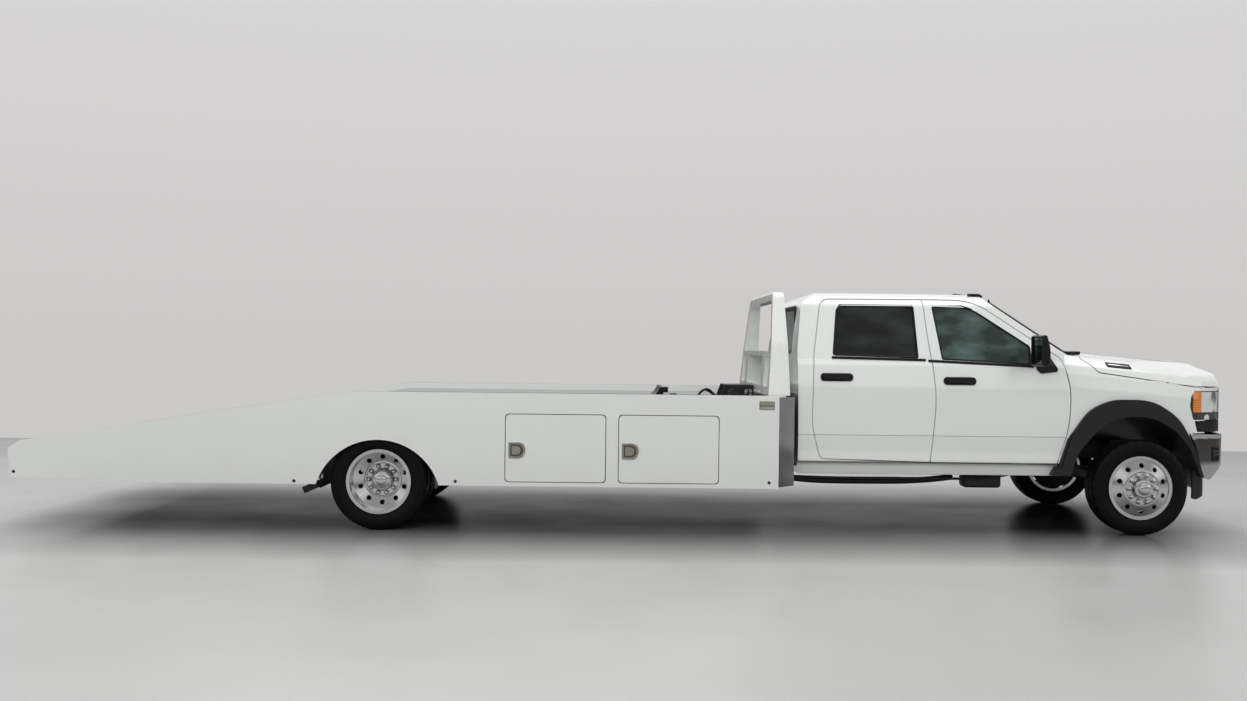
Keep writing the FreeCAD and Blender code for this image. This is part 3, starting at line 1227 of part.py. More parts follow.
BED_X = FRONT_X - BED_FRONT
KINK_X = BED_X - BED_LENGTH * KINK_SHARE
TAIL_X = BED_X - BED_LENGTH * TAIL_SHARE
TIP_X = BED_X - BED_LENGTH
SKIRT_FRONT = BED_X - CORNER
KINK_R = 900.0


def bed_top(x):
    """Height of the side rails' top: level ahead of the kink and falling behind it."""
    if x >= KINK_X:
        return BED_TOP
    return BED_TOP + (TAIL_TOP - BED_TOP) * (KINK_X - x) / (KINK_X - TAIL_X)


def bed_band(front, rear, top_drop, low_drop):
    """Side outline of a band that follows the bed's top between two drops."""
    return side_face([(front, BED_TOP - top_drop, 0), (KINK_X, BED_TOP - top_drop, KINK_R),
                      (rear, bed_top(rear) - top_drop, 0), (rear, bed_top(rear) - low_drop, 0),
                      (KINK_X, BED_TOP - low_drop, KINK_R), (front, BED_TOP - low_drop, 0)])


def box_door_face(front, growth):
    x = FRONT_X - front
    outline = rect(x - BOX_DOOR_W - growth, x + growth, BOX_DOOR_BOTTOM - growth, BOX_DOOR_TOP + growth, BOX_RIM)
    return side_face(outline)


TAIL_STEP = 25.0
TAIL_RISE_SHARE = 0.80
FLANGE_REACH = 596.0


def skirt():
    """Right side skirt, a plate with a deck rail along its top and a flange along its foot."""
    outline = [(SKIRT_FRONT, SKIRT_BOTTOM, 0), (SKIRT_FRONT, BED_TOP, 0), (KINK_X, BED_TOP, KINK_R),
               (TAIL_X, TAIL_TOP, SKIRT_T * 2), (TIP_X, TAIL_TIP, SKIRT_T), (TIP_X + TAIL_STEP, TAIL_BOTTOM, SKIRT_T),
               (BED_X - BED_LENGTH * TAIL_RISE_SHARE, SKIRT_BOTTOM, KINK_R)]
    plate = side_prism(side_face(outline), -BED_HALF, SKIRT_T - BED_HALF)
    rail = bed_band(BED_X - SKIRT_T, TAIL_X, 0, DECK_DROP + DECK_T)
    rail = side_prism(rail, SKIRT_T - BED_HALF, SIDE_RAIL_W - BED_HALF).cut(corner_room())
    arch = vec(REAR_X, -BED_HALF - OVER, ARCH_Z)
    hole = rod(arch, arch + vec(0, OVER * 2, 0), ARCH_R)
    doors = []
    for front in BOX_FRONTS:
        doors.append(side_prism(box_door_face(front, BOX_GAP), -BED_HALF - OVER, -BED_HALF + OVER))
    flange = box(REAR_X + FLANGE_REACH, SKIRT_FRONT, SKIRT_T - BED_HALF, SKIRT_T * 2 - BED_HALF,
                 SKIRT_BOTTOM, SKIRT_BOTTOM + SKIRT_T * 2)
    boxes = []
    reach = BOX_RIM + BOX_GAP
    for front in BOX_FRONTS:
        x = FRONT_X - front
        boxes.append(box(x - BOX_DOOR_W - reach, x + reach, -BED_HALF, OVER - BED_HALF, 0, BED_TOP))
    return [fused(plate.cut([hole] + doors), flange.cut(boxes)), rail]


BEARERS = 13
SILL_T = 60.0


def bearer(x):
    """A cross bearer: a deep middle and a shallow outrigger each side that meets it face to face."""
    top = bed_top(x - BEARER_T / 2) - DECK_DROP - DECK_T
    root = BEARER_ROOT + OVER
    half = [(root, top, 0), (root, top - OUTRIGGER_H, 0), (BEARER_ROOT, top - BEARER_H, 0)]
    points = half + [(-a, b, r) for a, b, r in reversed(half)]
    middle = section_prism(section_face(points), x - BEARER_T / 2, x + BEARER_T / 2)
    arm = box(x - BEARER_T / 2, x + BEARER_T / 2, SKIRT_T - BED_HALF, -root, top - OUTRIGGER_H, top)
    return [middle, arm, mirrored(arm)]


def bed_sills():
    """A sill on each frame rail, level and then falling behind the kink, and the tail stringers beside them."""
    level = BED_TOP - DECK_DROP - DECK_T - BEARER_H
    first = BED_X - BEARER_T
    meet = KINK_X - (level - RAIL_TOP) / (BED_TOP - TAIL_TOP) * (KINK_X - TAIL_X) + SILL_T
    outline = [(first, RAIL_TOP, 0), (first, level, 0), (KINK_X, level, KINK_R),
               (meet, RAIL_TOP + SILL_T / 4, 0), (meet, RAIL_TOP, 0)]
    sill = side_prism(side_face(outline), -RAIL_OUT, SILL_T - RAIL_OUT)
    low = DECK_DROP + DECK_T + BEARER_H
    band = bed_band(KINK_X + ARCH_R, TAIL_X + BEARER_T, low - SILL_T, low + SILL_T)
    tail = side_prism(band, -BEARER_ROOT, SILL_T - BEARER_ROOT)
    tail = tail.cut(box(KINK_X - ARCH_R, KINK_X + ARCH_R, -BED_HALF, 0, 0, BED_TOP))
    return [both(sill), both(tail)]


def bed_bearers(sills):
    """Cross bearers notched over the sills, then the front panel on its gusset and the tail beam on its link."""
    first = BED_X - BEARER_T
    last = TAIL_X + BEARER_T
    half = BED_HALF - CORNER
    under = BED_TOP - DECK_DROP - DECK_T
    parts = []
    for i in range(BEARERS):
        parts += bearer(first + (last - first) * i / (BEARERS - 1))
    parts.append(box(BED_X - SKIRT_T, BED_X, -half, half, under - BEARER_H, BED_TOP))
    parts.append(box(BED_X - BEARER_T / 2, BED_X - SKIRT_T, -half, half, under - BEARER_H, under))
    end_top = bed_top(TAIL_X - SILL_T) - DECK_DROP - DECK_T
    parts.append(box(TAIL_X - SILL_T, TAIL_X, SKIRT_T - BED_HALF, BED_HALF - SKIRT_T, TAIL_BOTTOM, end_top))
    parts.append(box(TAIL_X, TAIL_X + BEARER_T / 2, -BEARER_ROOT, BEARER_ROOT, end_top - BEARER_H,
                     end_top - OUTRIGGER_H))
    corners = both(corner_room())
    return [beam.cut(sills).cut(corners) for beam in parts]


def deck_runner():
    """Right wheel track of the open deck in three lengths: to the wheel stop, to the kink and down to the tail."""
    band = bed_band(BED_X - SKIRT_T, TAIL_X - SILL_T, DECK_DROP, DECK_DROP + DECK_T)
    track = side_prism(band, SIDE_RAIL_W - BED_HALF, -DECK_IN).cut(corner_room())
    stop = BED_X - STOP_BACK - STOP_L / 2
    reach = BED_LENGTH * 2
    parts = []
    for rear, front in ((stop, reach), (KINK_X, stop), (-reach, KINK_X)):
        parts.append(track.common(box(rear, front, -BED_HALF, 0, 0, BED_TOP)))
    return Part.makeCompound(parts)


def corner_room():
    """What lies outside the inner face of the right corner guard."""
    inner = SKIRT_T + SEAT_GAP - BED_HALF
    points = [(SKIRT_FRONT, -BED_HALF - OVER, 0), (BED_X + OVER, -BED_HALF - OVER, 0),
              (BED_X + OVER, inner + CORNER + OVER, 0), (SKIRT_FRONT, inner, 0)]
    return plan_prism(plan_face(points), 0, BED_TOP * 2)


def corner_guard():
    """Right polished corner plate between the skirt and the bed's front."""
    t = SKIRT_T / 2
    points = [(SKIRT_FRONT, -BED_HALF, 0), (BED_X, CORNER - BED_HALF, 0), (BED_X, CORNER + t * 2 - BED_HALF, 0),
              (SKIRT_FRONT, t * 2 - BED_HALF, 0)]
    return plan_prism(plan_face(points), SKIRT_BOTTOM + SKIRT_T, BED_TOP - SKIRT_T)


def wheel_stop():
    """Right wheel stop: a block with a hollow face that a tyre rolls against."""
    x = BED_X - STOP_BACK
    deck = BED_TOP - DECK_DROP
    foot = vec(x + STOP_L / 2, 0, deck)
    top = vec(x + STOP_L / 2, 0, deck + STOP_H)
    lip = vec(x + STOP_L / 3, 0, deck + STOP_H)
    toe = vec(x - STOP_L / 2, 0, deck + STOP_TOE)
    heel = vec(x - STOP_L / 2, 0, deck)
    middle = vec(x + STOP_HOLLOW_X, 0, deck + STOP_HOLLOW_Z)
    edges = [Part.LineSegment(foot, top).toShape(), Part.LineSegment(top, lip).toShape(),
             Part.Arc(lip, middle, toe).toShape(), Part.LineSegment(toe, heel).toShape(),
             Part.LineSegment(heel, foot).toShape()]
    return side_prism(Part.Face(Part.Wire(edges)), STOP_OUT, -DECK_IN - SIDE_RAIL_W)


def box_bars(front, outer, inner, y0, y1):
    """Four bars around a tool box door's outline, between two growths of it."""
    x = FRONT_X - front
    rear = x - BOX_DOOR_W
    low = BOX_DOOR_BOTTOM
    high = BOX_DOOR_TOP
    return [box(rear - outer, x + outer, y0, y1, low - outer, low - inner),
            box(rear - outer, x + outer, y0, y1, high + inner, high + outer),
            box(rear - outer, rear - inner, y0, y1, low - inner, high + inner),
            box(x + inner, x + outer, y0, y1, low - inner, high + inner)]


def tool_box(front):
    """Right tool box behind the skirt: a rim its door fits in, a seal, four walls and a back."""
    mouth = BOX_DOOR_T + BOX_SEAL - BED_HALF
    seal_y = BOX_DOOR_T + SEAT_GAP - BED_HALF
    x = FRONT_X - front
    rim = box_bars(front, BOX_RIM, BOX_GAP, SKIRT_T - BED_HALF, mouth)
    walls = box_bars(front, BOX_RIM, -BOX_LEDGE, mouth, -BOX_IN - BOX_WALL)
    seal = box_bars(front, -BOX_GAP / 2, -BOX_LEDGE, seal_y, mouth)
    back = box(x - BOX_DOOR_W - BOX_RIM, x + BOX_RIM, -BOX_IN - BOX_WALL, -BOX_IN,
               BOX_DOOR_BOTTOM - BOX_RIM, BOX_DOOR_TOP + BOX_RIM)
    return Part.makeCompound(rim + walls + seal + [back])


LATCH_W = 135.0
LATCH_H = 127.0
LATCH_X_SHARE = 0.8667
LATCH_SHARE = 0.485
LATCH_T = 9.0
LATCH_EDGE = 14.0
PADDLE_EDGE = 22.0
LATCH_ROUND = 57.0
LATCH_NICK = 13.0


def box_door(front):
    """Tool box door with its D shaped paddle latch near the rear edge."""
    panel = side_prism(box_door_face(front, 0), -BED_HALF, BOX_DOOR_T - BED_HALF)
    x = FRONT_X - front - BOX_DOOR_W * LATCH_X_SHARE
    z = BOX_DOOR_BOTTOM + (BOX_DOOR_TOP - BOX_DOOR_BOTTOM) * LATCH_SHARE
    rear = x - LATCH_W / 2
    ahead = x + LATCH_W / 2
    low = z - LATCH_H / 2
    high = z + LATCH_H / 2
    outline = side_face([(rear, low, LATCH_NICK), (ahead, low, LATCH_ROUND), (ahead, high, LATCH_ROUND),
                         (rear, high, LATCH_NICK)])
    plate = side_prism(outline, -BED_HALF - LATCH_T / 2, -BED_HALF + LATCH_T)
    dish = side_prism(grown(outline, -LATCH_EDGE), -BED_HALF - LATCH_T, -BED_HALF + LATCH_T / 2)
    paddle = side_prism(grown(outline, -PADDLE_EDGE), -BED_HALF - LATCH_T / 3, -BED_HALF + LATCH_T)
    return fused(panel.fuse(plate).cut(dish), paddle)


def front_liner():
    """Right front wheel housing liner, a shell from the arch opening to the apron."""
    shell = liner_form(LINER_T).cut(liner_form(0))
    return shell.cut(box(FRONT_X - CAB_SPAN, FRONT_X + CAB_SPAN, RIGHT_OUT, 0, -TYRE_R, LINER_FOOT))


def rear_liner():
    """Right rear wheel housing, seated against the skirt's inner face."""
    start = vec(REAR_X, SKIRT_T - BED_HALF, TYRE_R)
    span = vec(0, BED_HALF - SKIRT_T - REAR_LINER_IN, 0)
    shell = rod(start, start + span, REAR_LINER_R + LINER_T).cut(rod(start, start + span, REAR_LINER_R))
    return shell.cut(box(REAR_X - CAB_SPAN, REAR_X + CAB_SPAN, RIGHT_OUT * 2, 0, -TYRE_R, SKIRT_BOTTOM - BOX_RIM))


def rack_outline():
    """The rack seen from behind: upright below its waist and leaning in above it."""
    half = [(RACK_HALF, BED_TOP, 0), (RACK_WAIST, RACK_WAIST_Z, RACK_BEND_R), (RACK_HEAD_HALF, RACK_TOP, RACK_HEAD_R)]
    return section_face(half + [(-a, b, r) for a, b, r in reversed(half)])


def headache_rack():
    """Rack across the bed's front: two tapered posts, a round cornered head, a shelf and framed panels."""
    front = BED_X - RACK_BACK
    rear = front - RACK_BASE
    side = side_face([(front, BED_TOP, 0), (rear, BED_TOP, 0), (rear + RACK_LEAN, RACK_TOP, RACK_EDGE_R),
                      (front - RACK_TAPER, RACK_TOP, RACK_EDGE_R)])
    reach = (rear - OVER, front + OVER)
    rack = section_prism(rack_outline(), *reach).common(side_prism(side, -BED_HALF, BED_HALF))
    head = grown(rack_outline(), -RACK_POST)
    band = section_face(rect(-RACK_HALF, RACK_HALF, RACK_SILL_Z, RACK_HEAD_Z, 0))
    middle = section_face(rect(-RACK_MIDDLE, RACK_MIDDLE, RACK_FOOT_Z, RACK_SHELF_Z, RACK_EDGE_R))
    wing = section_face(rect(RACK_WING_IN, RACK_WING_OUT, RACK_FOOT_Z, RACK_SHELF_Z, RACK_EDGE_R))
    upper = section_prism(head, *reach).common(section_prism(band, *reach))
    return rack.cut([upper, section_prism(middle, *reach), both(section_prism(wing, *reach))])


def winch_frame():
    """Winch cheeks with rounded windows and a top plate on a base across the bearers, the motor on one cheek."""
    front = BED_X - WINCH_BACK + WINCH_L / 2
    rear = front - WINCH_L
    deck = BED_TOP - DECK_DROP - DECK_T
    top = deck + WINCH_H
    base = box(rear, front, -DECK_IN, DECK_IN, deck, deck + WINCH_WALL)
    cheek_face = side_face([(rear, deck + WINCH_WALL, 0), (rear + WINCH_LEAN, top, WINCH_WALL), (front, top, WINCH_WALL),
                            (front, deck + WINCH_WALL, 0)])
    middle = deck + WINCH_H - WINCH_SLOT_H * 3 / 2 + WINCH_WALL * 2
    slot = side_face(rect(front - WINCH_WALL - WINCH_SLOT_L, front - WINCH_WALL, middle - WINCH_SLOT_H / 2,
                          middle + WINCH_SLOT_H / 2, WINCH_SLOT_H / 3))
    cheek = side_prism(cheek_face, -WINCH_HALF, -WINCH_HALF + WINCH_WALL)
    cheek = cheek.cut(side_prism(slot, -BED_HALF, 0))
    cover = box(rear + WINCH_LEAN + WINCH_WALL, front - WINCH_WALL, WINCH_WALL - WINCH_HALF, WINCH_HALF - WINCH_WALL,
                top - WINCH_WALL, top)
    centre = drum_centre()
    motor = rod(centre - vec(0, WINCH_HALF, 0), centre - vec(0, WINCH_HALF + MOTOR_L, 0), DRUM_R)
    bore = rod(centre - vec(0, WINCH_HALF + WINCH_WALL, 0), centre + vec(0, WINCH_HALF * 2, 0), DRUM_SHAFT_R + FIT)
    return fused(base, both(cheek), cover, motor).cut(bore)


def drum_centre():
    base = BED_TOP - DECK_DROP - DECK_T + WINCH_WALL
    return vec(BED_X - WINCH_BACK - DRUM_BACK, 0, base + DRUM_FLANGE_R + BOX_GAP)


def winch_drum():
    centre = drum_centre()
    reach = WINCH_HALF - WINCH_WALL - BOX_GAP
    barrel = rod(centre - vec(0, reach, 0), centre + vec(0, reach, 0), DRUM_R)
    shaft = rod(centre - vec(0, WINCH_HALF, 0), centre + vec(0, WINCH_HALF + WINCH_WALL, 0), DRUM_SHAFT_R)
    flange = rod(centre - vec(0, reach, 0), centre - vec(0, reach - WINCH_WALL, 0), DRUM_FLANGE_R)
    return fused(barrel, shaft, both(flange))


TAIL_LAMP_R = 50.0
TAIL_LAMP_T = 22.0
TAIL_LAMP_SHARES = (0.60, 0.74, 0.88)


def tail_lamps():
    """Three round lamps each side, flat on the tail beam."""
    lamps = []
    for share in TAIL_LAMP_SHARES:
        start = vec(TAIL_X - SILL_T, -share * BED_HALF, (TAIL_BOTTOM + TAIL_TIP) / 2 - TAIL_LAMP_T)
        lamps.append(both(rod(start, start - vec(TAIL_LAMP_T, 0, 0), TAIL_LAMP_R)))
    return lamps


def mirrored_pair(name, right, left_name):
    """Save a right piece and its mirror image on the left."""
    save(name, right)
    save(left_name, mirrored(right))


def main():
    os.makedirs("parts", exist_ok=True)
    save("chassis_frame", *chassis_frame())
    save("front_axle", front_axle())
    save("rear_axle", rear_axle())
    save("powertrain", *powertrain())
    save("fuel_tank", fuel_tank())
    save("exhaust", exhaust())
    save("cab_shell", *cab_shell())
    save("cab_glass", cab_glass())
    save("seats", *seats())
    save("dashboard", dashboard())
    save("roof_lamps", *roof_lamps())
    save("hood", hood())
    save("fenders", both(fender()))
    save("fender_flares", both(flare()))
    save("headlamps", both(headlamp()))
    save("front_trim", grille(), both(lamp_trim()), air_dam())
    save("front_bumper", bumper())
    sills = bed_sills()
    save("bed_sills", *sills)
    save("bed_bearers", *bed_bearers(sills))
    save("deck_runners", both(deck_runner()))
    save("wheel_stop", wheel_stop())
    save("corner_guards", both(corner_guard()))
    save("wheel_liners", both(front_liner()), both(rear_liner()))
    save("headache_rack", headache_rack())
    save("winch_frame", winch_frame())
    save("winch_drum", winch_drum())
    save("tail_lamps", *tail_lamps())
    mirrored_pair("knuckle_r", knuckle(), "knuckle_l")
    mirrored_pair("rim_fr", front_wheel(), "rim_fl")
    mirrored_pair("tyre_fr", tyre(vec(FRONT_X, -FRONT_TRACK / 2, TYRE_R)), "tyre_fl")
    mirrored_pair("rims_rr", rear_wheels(), "rims_rl")
    mirrored_pair("tyres_rr", rear_tyres(), "tyres_rl")
    mirrored_pair("door_fr", cab_door(FRONT_DOOR, FRONT_WINDOW), "door_fl")
    mirrored_pair("door_rr", cab_door(REAR_DOOR, REAR_WINDOW), "door_rl")
    mirrored_pair("glass_fr", door_glass(FRONT_WINDOW), "glass_fl")
    mirrored_pair("glass_rr", door_glass(REAR_WINDOW), "glass_rl")
    mirrored_pair("mirror_fr", mirror(), "mirror_fl")
    mirrored_pair("handle_fr", door_handle(HANDLE_SHARES), "handle_fl")
    mirrored_pair("handle_rr", door_handle(REAR_HANDLE_SHARES), "handle_rl")
    mirrored_pair("skirt_r", Part.makeCompound(skirt()), "skirt_l")
    boxes = Part.makeCompound([tool_box(front) for front in BOX_FRONTS])
    mirrored_pair("tool_boxes_r", boxes, "tool_boxes_l")
    mirrored_pair("box_door_r1", box_door(BOX_FRONTS[0]), "box_door_l1")
    mirrored_pair("box_door_r2", box_door(BOX_FRONTS[1]), "box_door_l2")


main()
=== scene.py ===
import json
import math

import bpy
from mathutils import Matrix, Vector


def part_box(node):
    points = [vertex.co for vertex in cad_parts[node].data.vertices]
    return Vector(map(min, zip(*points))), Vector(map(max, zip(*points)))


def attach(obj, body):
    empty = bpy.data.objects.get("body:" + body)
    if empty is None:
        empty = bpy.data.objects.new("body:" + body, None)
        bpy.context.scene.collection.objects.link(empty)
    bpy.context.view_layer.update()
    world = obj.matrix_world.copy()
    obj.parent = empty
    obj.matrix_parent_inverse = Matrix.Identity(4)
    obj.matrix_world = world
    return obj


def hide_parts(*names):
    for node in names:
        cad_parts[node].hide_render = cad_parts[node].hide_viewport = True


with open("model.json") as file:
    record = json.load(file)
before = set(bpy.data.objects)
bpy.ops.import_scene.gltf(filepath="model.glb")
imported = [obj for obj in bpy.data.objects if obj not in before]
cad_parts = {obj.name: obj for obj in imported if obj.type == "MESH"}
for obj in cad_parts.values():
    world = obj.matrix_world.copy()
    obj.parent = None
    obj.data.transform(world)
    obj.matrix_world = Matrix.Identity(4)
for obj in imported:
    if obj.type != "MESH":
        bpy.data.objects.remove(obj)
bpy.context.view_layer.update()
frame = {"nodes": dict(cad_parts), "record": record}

# Crew cab truck with a low flatbed carrier body. Metres, X forward, Y to the truck's left, Z up from the ground.
NODES = frame["nodes"]
FRONT_LOW, FRONT_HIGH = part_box("tyre_fr")
REAR_LOW, REAR_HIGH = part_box("tyres_rr")
TYRE_R = (FRONT_HIGH.z - FRONT_LOW.z) / 2
TYRE_W = FRONT_HIGH.y - FRONT_LOW.y
AXLE_X = (FRONT_LOW.x + FRONT_HIGH.x) / 2
REAR_X = (REAR_LOW.x + REAR_HIGH.x) / 2
FRONT_Y = (FRONT_LOW.y + FRONT_HIGH.y) / 2
REAR_YS = (REAR_LOW.y + TYRE_W / 2, REAR_HIGH.y - TYRE_W / 2)
SPAN = 2.8
ROOF = 1.99
BED_SIDE = 1.22
BED_TOP = 1.122


# Camera, fitted to the photograph

CAMERA_BEHIND_AXLE = 4.331
CAMERA_Y = -10.5315
CAMERA_Z = 1.5033
CAMERA_YAW = 0.0069
CAMERA_PITCH = -0.0030
CAMERA_ROLL = 0.0117
SENSOR = 36.0
LENS = 33.41


def add_camera():
    data = bpy.data.cameras.new("photo_camera")
    data.sensor_width = SENSOR
    data.sensor_fit = "HORIZONTAL"
    data.lens = LENS
    data.clip_end = 400
    camera = bpy.data.objects.new("photo_camera", data)
    bpy.context.scene.collection.objects.link(camera)
    ahead = Vector((math.sin(CAMERA_YAW), math.cos(CAMERA_YAW), 0))
    right = Vector((math.cos(CAMERA_YAW), -math.sin(CAMERA_YAW), 0))
    up = Vector((0, 0, 1))
    sight = ahead * math.cos(CAMERA_PITCH) + up * math.sin(CAMERA_PITCH)
    lift = up * math.cos(CAMERA_PITCH) - ahead * math.sin(CAMERA_PITCH)
    across = right * math.cos(CAMERA_ROLL) + lift * math.sin(CAMERA_ROLL)
    lift = lift * math.cos(CAMERA_ROLL) - right * math.sin(CAMERA_ROLL)
    turn = Matrix((across, lift, -sight)).transposed().to_4x4()
    place = Vector((AXLE_X - CAMERA_BEHIND_AXLE, CAMERA_Y, CAMERA_Z))
    camera.matrix_world = Matrix.Translation(place) @ turn
    bpy.context.scene.camera = camera


# Node groups that several finishes share

def new_group(name, inputs, outputs):
    tree = bpy.data.node_groups.new(name, "ShaderNodeTree")
    for label, kind, value in inputs:
        socket = tree.interface.new_socket(name=label, in_out="INPUT", socket_type=kind)
        socket.default_value = value
    for label, kind in outputs:
        tree.interface.new_socket(name=label, in_out="OUTPUT", socket_type=kind)
    return tree, tree.nodes.new("NodeGroupInput"), tree.nodes.new("NodeGroupOutput")


def add_node(tree, kind, **settings):
    node = tree.nodes.new(kind)
    for name, value in settings.items():
        setattr(node, name, value)
    return node


def noise(tree, where, scale, detail=3.0, stretch=None):
    node = tree.nodes.new("ShaderNodeTexNoise")
    node.inputs["Detail"].default_value = detail
    source = where
    if stretch:
        mapping = tree.nodes.new("ShaderNodeMapping")
        mapping.inputs["Scale"].default_value = stretch
        tree.links.new(where, mapping.inputs["Vector"])
        source = mapping.outputs["Vector"]
    tree.links.new(source, node.inputs["Vector"])
    feed(tree, scale, node.inputs["Scale"])
    return node.outputs["Fac"]


def feed(tree, value, socket):
    """Link a socket or write a plain value."""
    if isinstance(value, (int, float, tuple)):
        socket.default_value = value
    else:
        tree.links.new(value, socket)


def ranged(tree, value, low, high, to_low=0.0, to_high=1.0):
    node = tree.nodes.new("ShaderNodeMapRange")
    tree.links.new(value, node.inputs["Value"])
    for label, number in (("From Min", low), ("From Max", high), ("To Min", to_low), ("To Max", to_high)):
        feed(tree, number, node.inputs[label])
    return node.outputs["Result"]


def maths(tree, operation, a, b=0.0):
    node = add_node(tree, "ShaderNodeMath", operation=operation)
    feed(tree, a, node.inputs[0])
    feed(tree, b, node.inputs[1])
    return node.outputs[0]


def mixed(tree, factor, low, high):
    node = add_node(tree, "ShaderNodeMix", data_type="RGBA")
    feed(tree, factor, node.inputs["Factor"])
    feed(tree, low, node.inputs["A"])
    feed(tree, high, node.inputs["B"])
    return node.outputs["Result"]


def object_place(tree):
    return tree.nodes.new("ShaderNodeTexCoord").outputs["Object"]


def axes_of(tree, where):
    """The outputs X, Y and Z of a place."""
    node = tree.nodes.new("ShaderNodeSeparateXYZ")
    tree.links.new(where, node.inputs[0])
    return node.outputs


def weathering_group():
    """Broad tone change, fine speckle and road dust that grows towards the ground."""
    tree, source, sink = new_group(
        "weathering",
        [("Colour", "NodeSocketColor", (0.8, 0.8, 0.8, 1)), ("Dust", "NodeSocketColor", (0.4, 0.38, 0.35, 1)),
         ("Amount", "NodeSocketFloat", 0.2), ("Gloss", "NodeSocketFloat", 0.2)],
        [("Colour", "NodeSocketColor"), ("Roughness", "NodeSocketFloat")])
    where = object_place(tree)
    low = ranged(tree, axes_of(tree, where)["Z"], 0.25, 0.95, 1.0, 0.12)
    cloud = ranged(tree, noise(tree, where, 2.3, 5.0), 0.35, 0.75)
    speck = ranged(tree, noise(tree, where, 60.0, 3.0), 0.45, 0.8)
    cover = maths(tree, "MULTIPLY", maths(tree, "ADD", cloud, maths(tree, "MULTIPLY", speck, 0.35)), low)
    cover = maths(tree, "MULTIPLY", cover, source.outputs["Amount"])
    tree.links.new(mixed(tree, cover, source.outputs["Colour"], source.outputs["Dust"]), sink.inputs["Colour"])
    smudge = ranged(tree, noise(tree, where, 7.0, 4.0), 0.3, 0.7, -0.03, 0.05)
    gloss = maths(tree, "ADD", source.outputs["Gloss"], smudge)
    tree.links.new(maths(tree, "ADD", gloss, maths(tree, "MULTIPLY", cover, 0.5)), sink.inputs["Roughness"])
    return tree


def grain_group():
    """Moulded grain or orange peel as a height."""
    tree, source, sink = new_group(
        "grain", [("Scale", "NodeSocketFloat", 400.0), ("Softness", "NodeSocketFloat", 0.3)],
        [("Height", "NodeSocketFloat"), ("Mask", "NodeSocketFloat")])
    where = object_place(tree)
    fine = noise(tree, where, source.outputs["Scale"], 2.0)
    cells = tree.nodes.new("ShaderNodeTexVoronoi")
    tree.links.new(where, cells.inputs["Vector"])
    tree.links.new(source.outputs["Scale"], cells.inputs["Scale"])
    blend = maths(tree, "MULTIPLY", cells.outputs["Distance"], source.outputs["Softness"])
    tree.links.new(maths(tree, "ADD", fine, blend), sink.inputs["Height"])
    tree.links.new(ranged(tree, fine, 0.35, 0.7), sink.inputs["Mask"])
    return tree


def brushing_group():
    """Long fine scratches along X or round a wheel, as a roughness and a height."""
    tree, source, sink = new_group(
        "brushing", [("Along", "NodeSocketVector", (4.0, 260.0, 260.0)), ("Gloss", "NodeSocketFloat", 0.2),
                     ("Spread", "NodeSocketFloat", 0.15)],
        [("Roughness", "NodeSocketFloat"), ("Height", "NodeSocketFloat")])
    where = object_place(tree)
    mapping = tree.nodes.new("ShaderNodeMapping")
    tree.links.new(where, mapping.inputs["Vector"])
    tree.links.new(source.outputs["Along"], mapping.inputs["Scale"])
    lines = noise(tree, mapping.outputs["Vector"], 1.0, 2.0)
    cloud = noise(tree, where, 5.0, 4.0)
    streak = maths(tree, "MULTIPLY", maths(tree, "MULTIPLY", lines, cloud), source.outputs["Spread"])
    tree.links.new(maths(tree, "ADD", streak, source.outputs["Gloss"]), sink.inputs["Roughness"])
    tree.links.new(lines, sink.inputs["Height"])
    return tree


def weave_group():
    """Woven seat cloth: crossing threads as a mask and a height."""
    tree, source, sink = new_group("weave", [("Scale", "NodeSocketFloat", 900.0)],
                                   [("Mask", "NodeSocketFloat"), ("Height", "NodeSocketFloat")])
    where = object_place(tree)
    axes = axes_of(tree, where)
    waves = []
    for first, second in (("X", "Y"), ("Y", "Z")):
        total = maths(tree, "ADD", axes[first], axes[second])
        angle = maths(tree, "MULTIPLY", total, source.outputs["Scale"])
        waves.append(maths(tree, "SINE", angle))
    height = maths(tree, "MULTIPLY", waves[0], waves[1])
    tree.links.new(height, sink.inputs["Height"])
    tree.links.new(ranged(tree, height, -1.0, 1.0), sink.inputs["Mask"])
    return tree


WEATHERING = weathering_group()
GRAIN = grain_group()
BRUSHING = brushing_group()
WEAVE = weave_group()


def new_material(name, metallic=0.0, coat=0.0, roughness=0.4):
    material = bpy.data.materials.new(name)
    material.use_nodes = True
    shader = material.node_tree.nodes["Principled BSDF"]
    shader.inputs["Metallic"].default_value = metallic
    shader.inputs["Coat Weight"].default_value = coat
    shader.inputs["Coat Roughness"].default_value = 0.05
    shader.inputs["Roughness"].default_value = roughness
    return material, material.node_tree, shader


def use_group(tree, group, **values):
    node = tree.nodes.new("ShaderNodeGroup")
    node.node_tree = group
    for name, value in values.items():
        node.inputs[name].default_value = value
    return node


def bump(tree, shader, height, strength, distance):
    node = tree.nodes.new("ShaderNodeBump")
    node.inputs["Strength"].default_value = strength
    node.inputs["Distance"].default_value = distance
    tree.links.new(height, node.inputs["Height"])
    tree.links.new(node.outputs["Normal"], shader.inputs["Normal"])


def painted(name, colour, dust, amount, gloss, peel_scale, peel, coat=0.6):
    material, tree, shader = new_material(name, coat=coat)
    wear = use_group(tree, WEATHERING, Colour=colour, Dust=dust, Amount=amount, Gloss=gloss)
    tree.links.new(wear.outputs["Colour"], shader.inputs["Base Color"])
    tree.links.new(wear.outputs["Roughness"], shader.inputs["Roughness"])
    grain = use_group(tree, GRAIN, Scale=peel_scale, Softness=0.0)
    bump(tree, shader, grain.outputs["Height"], peel, 0.001)
    return material


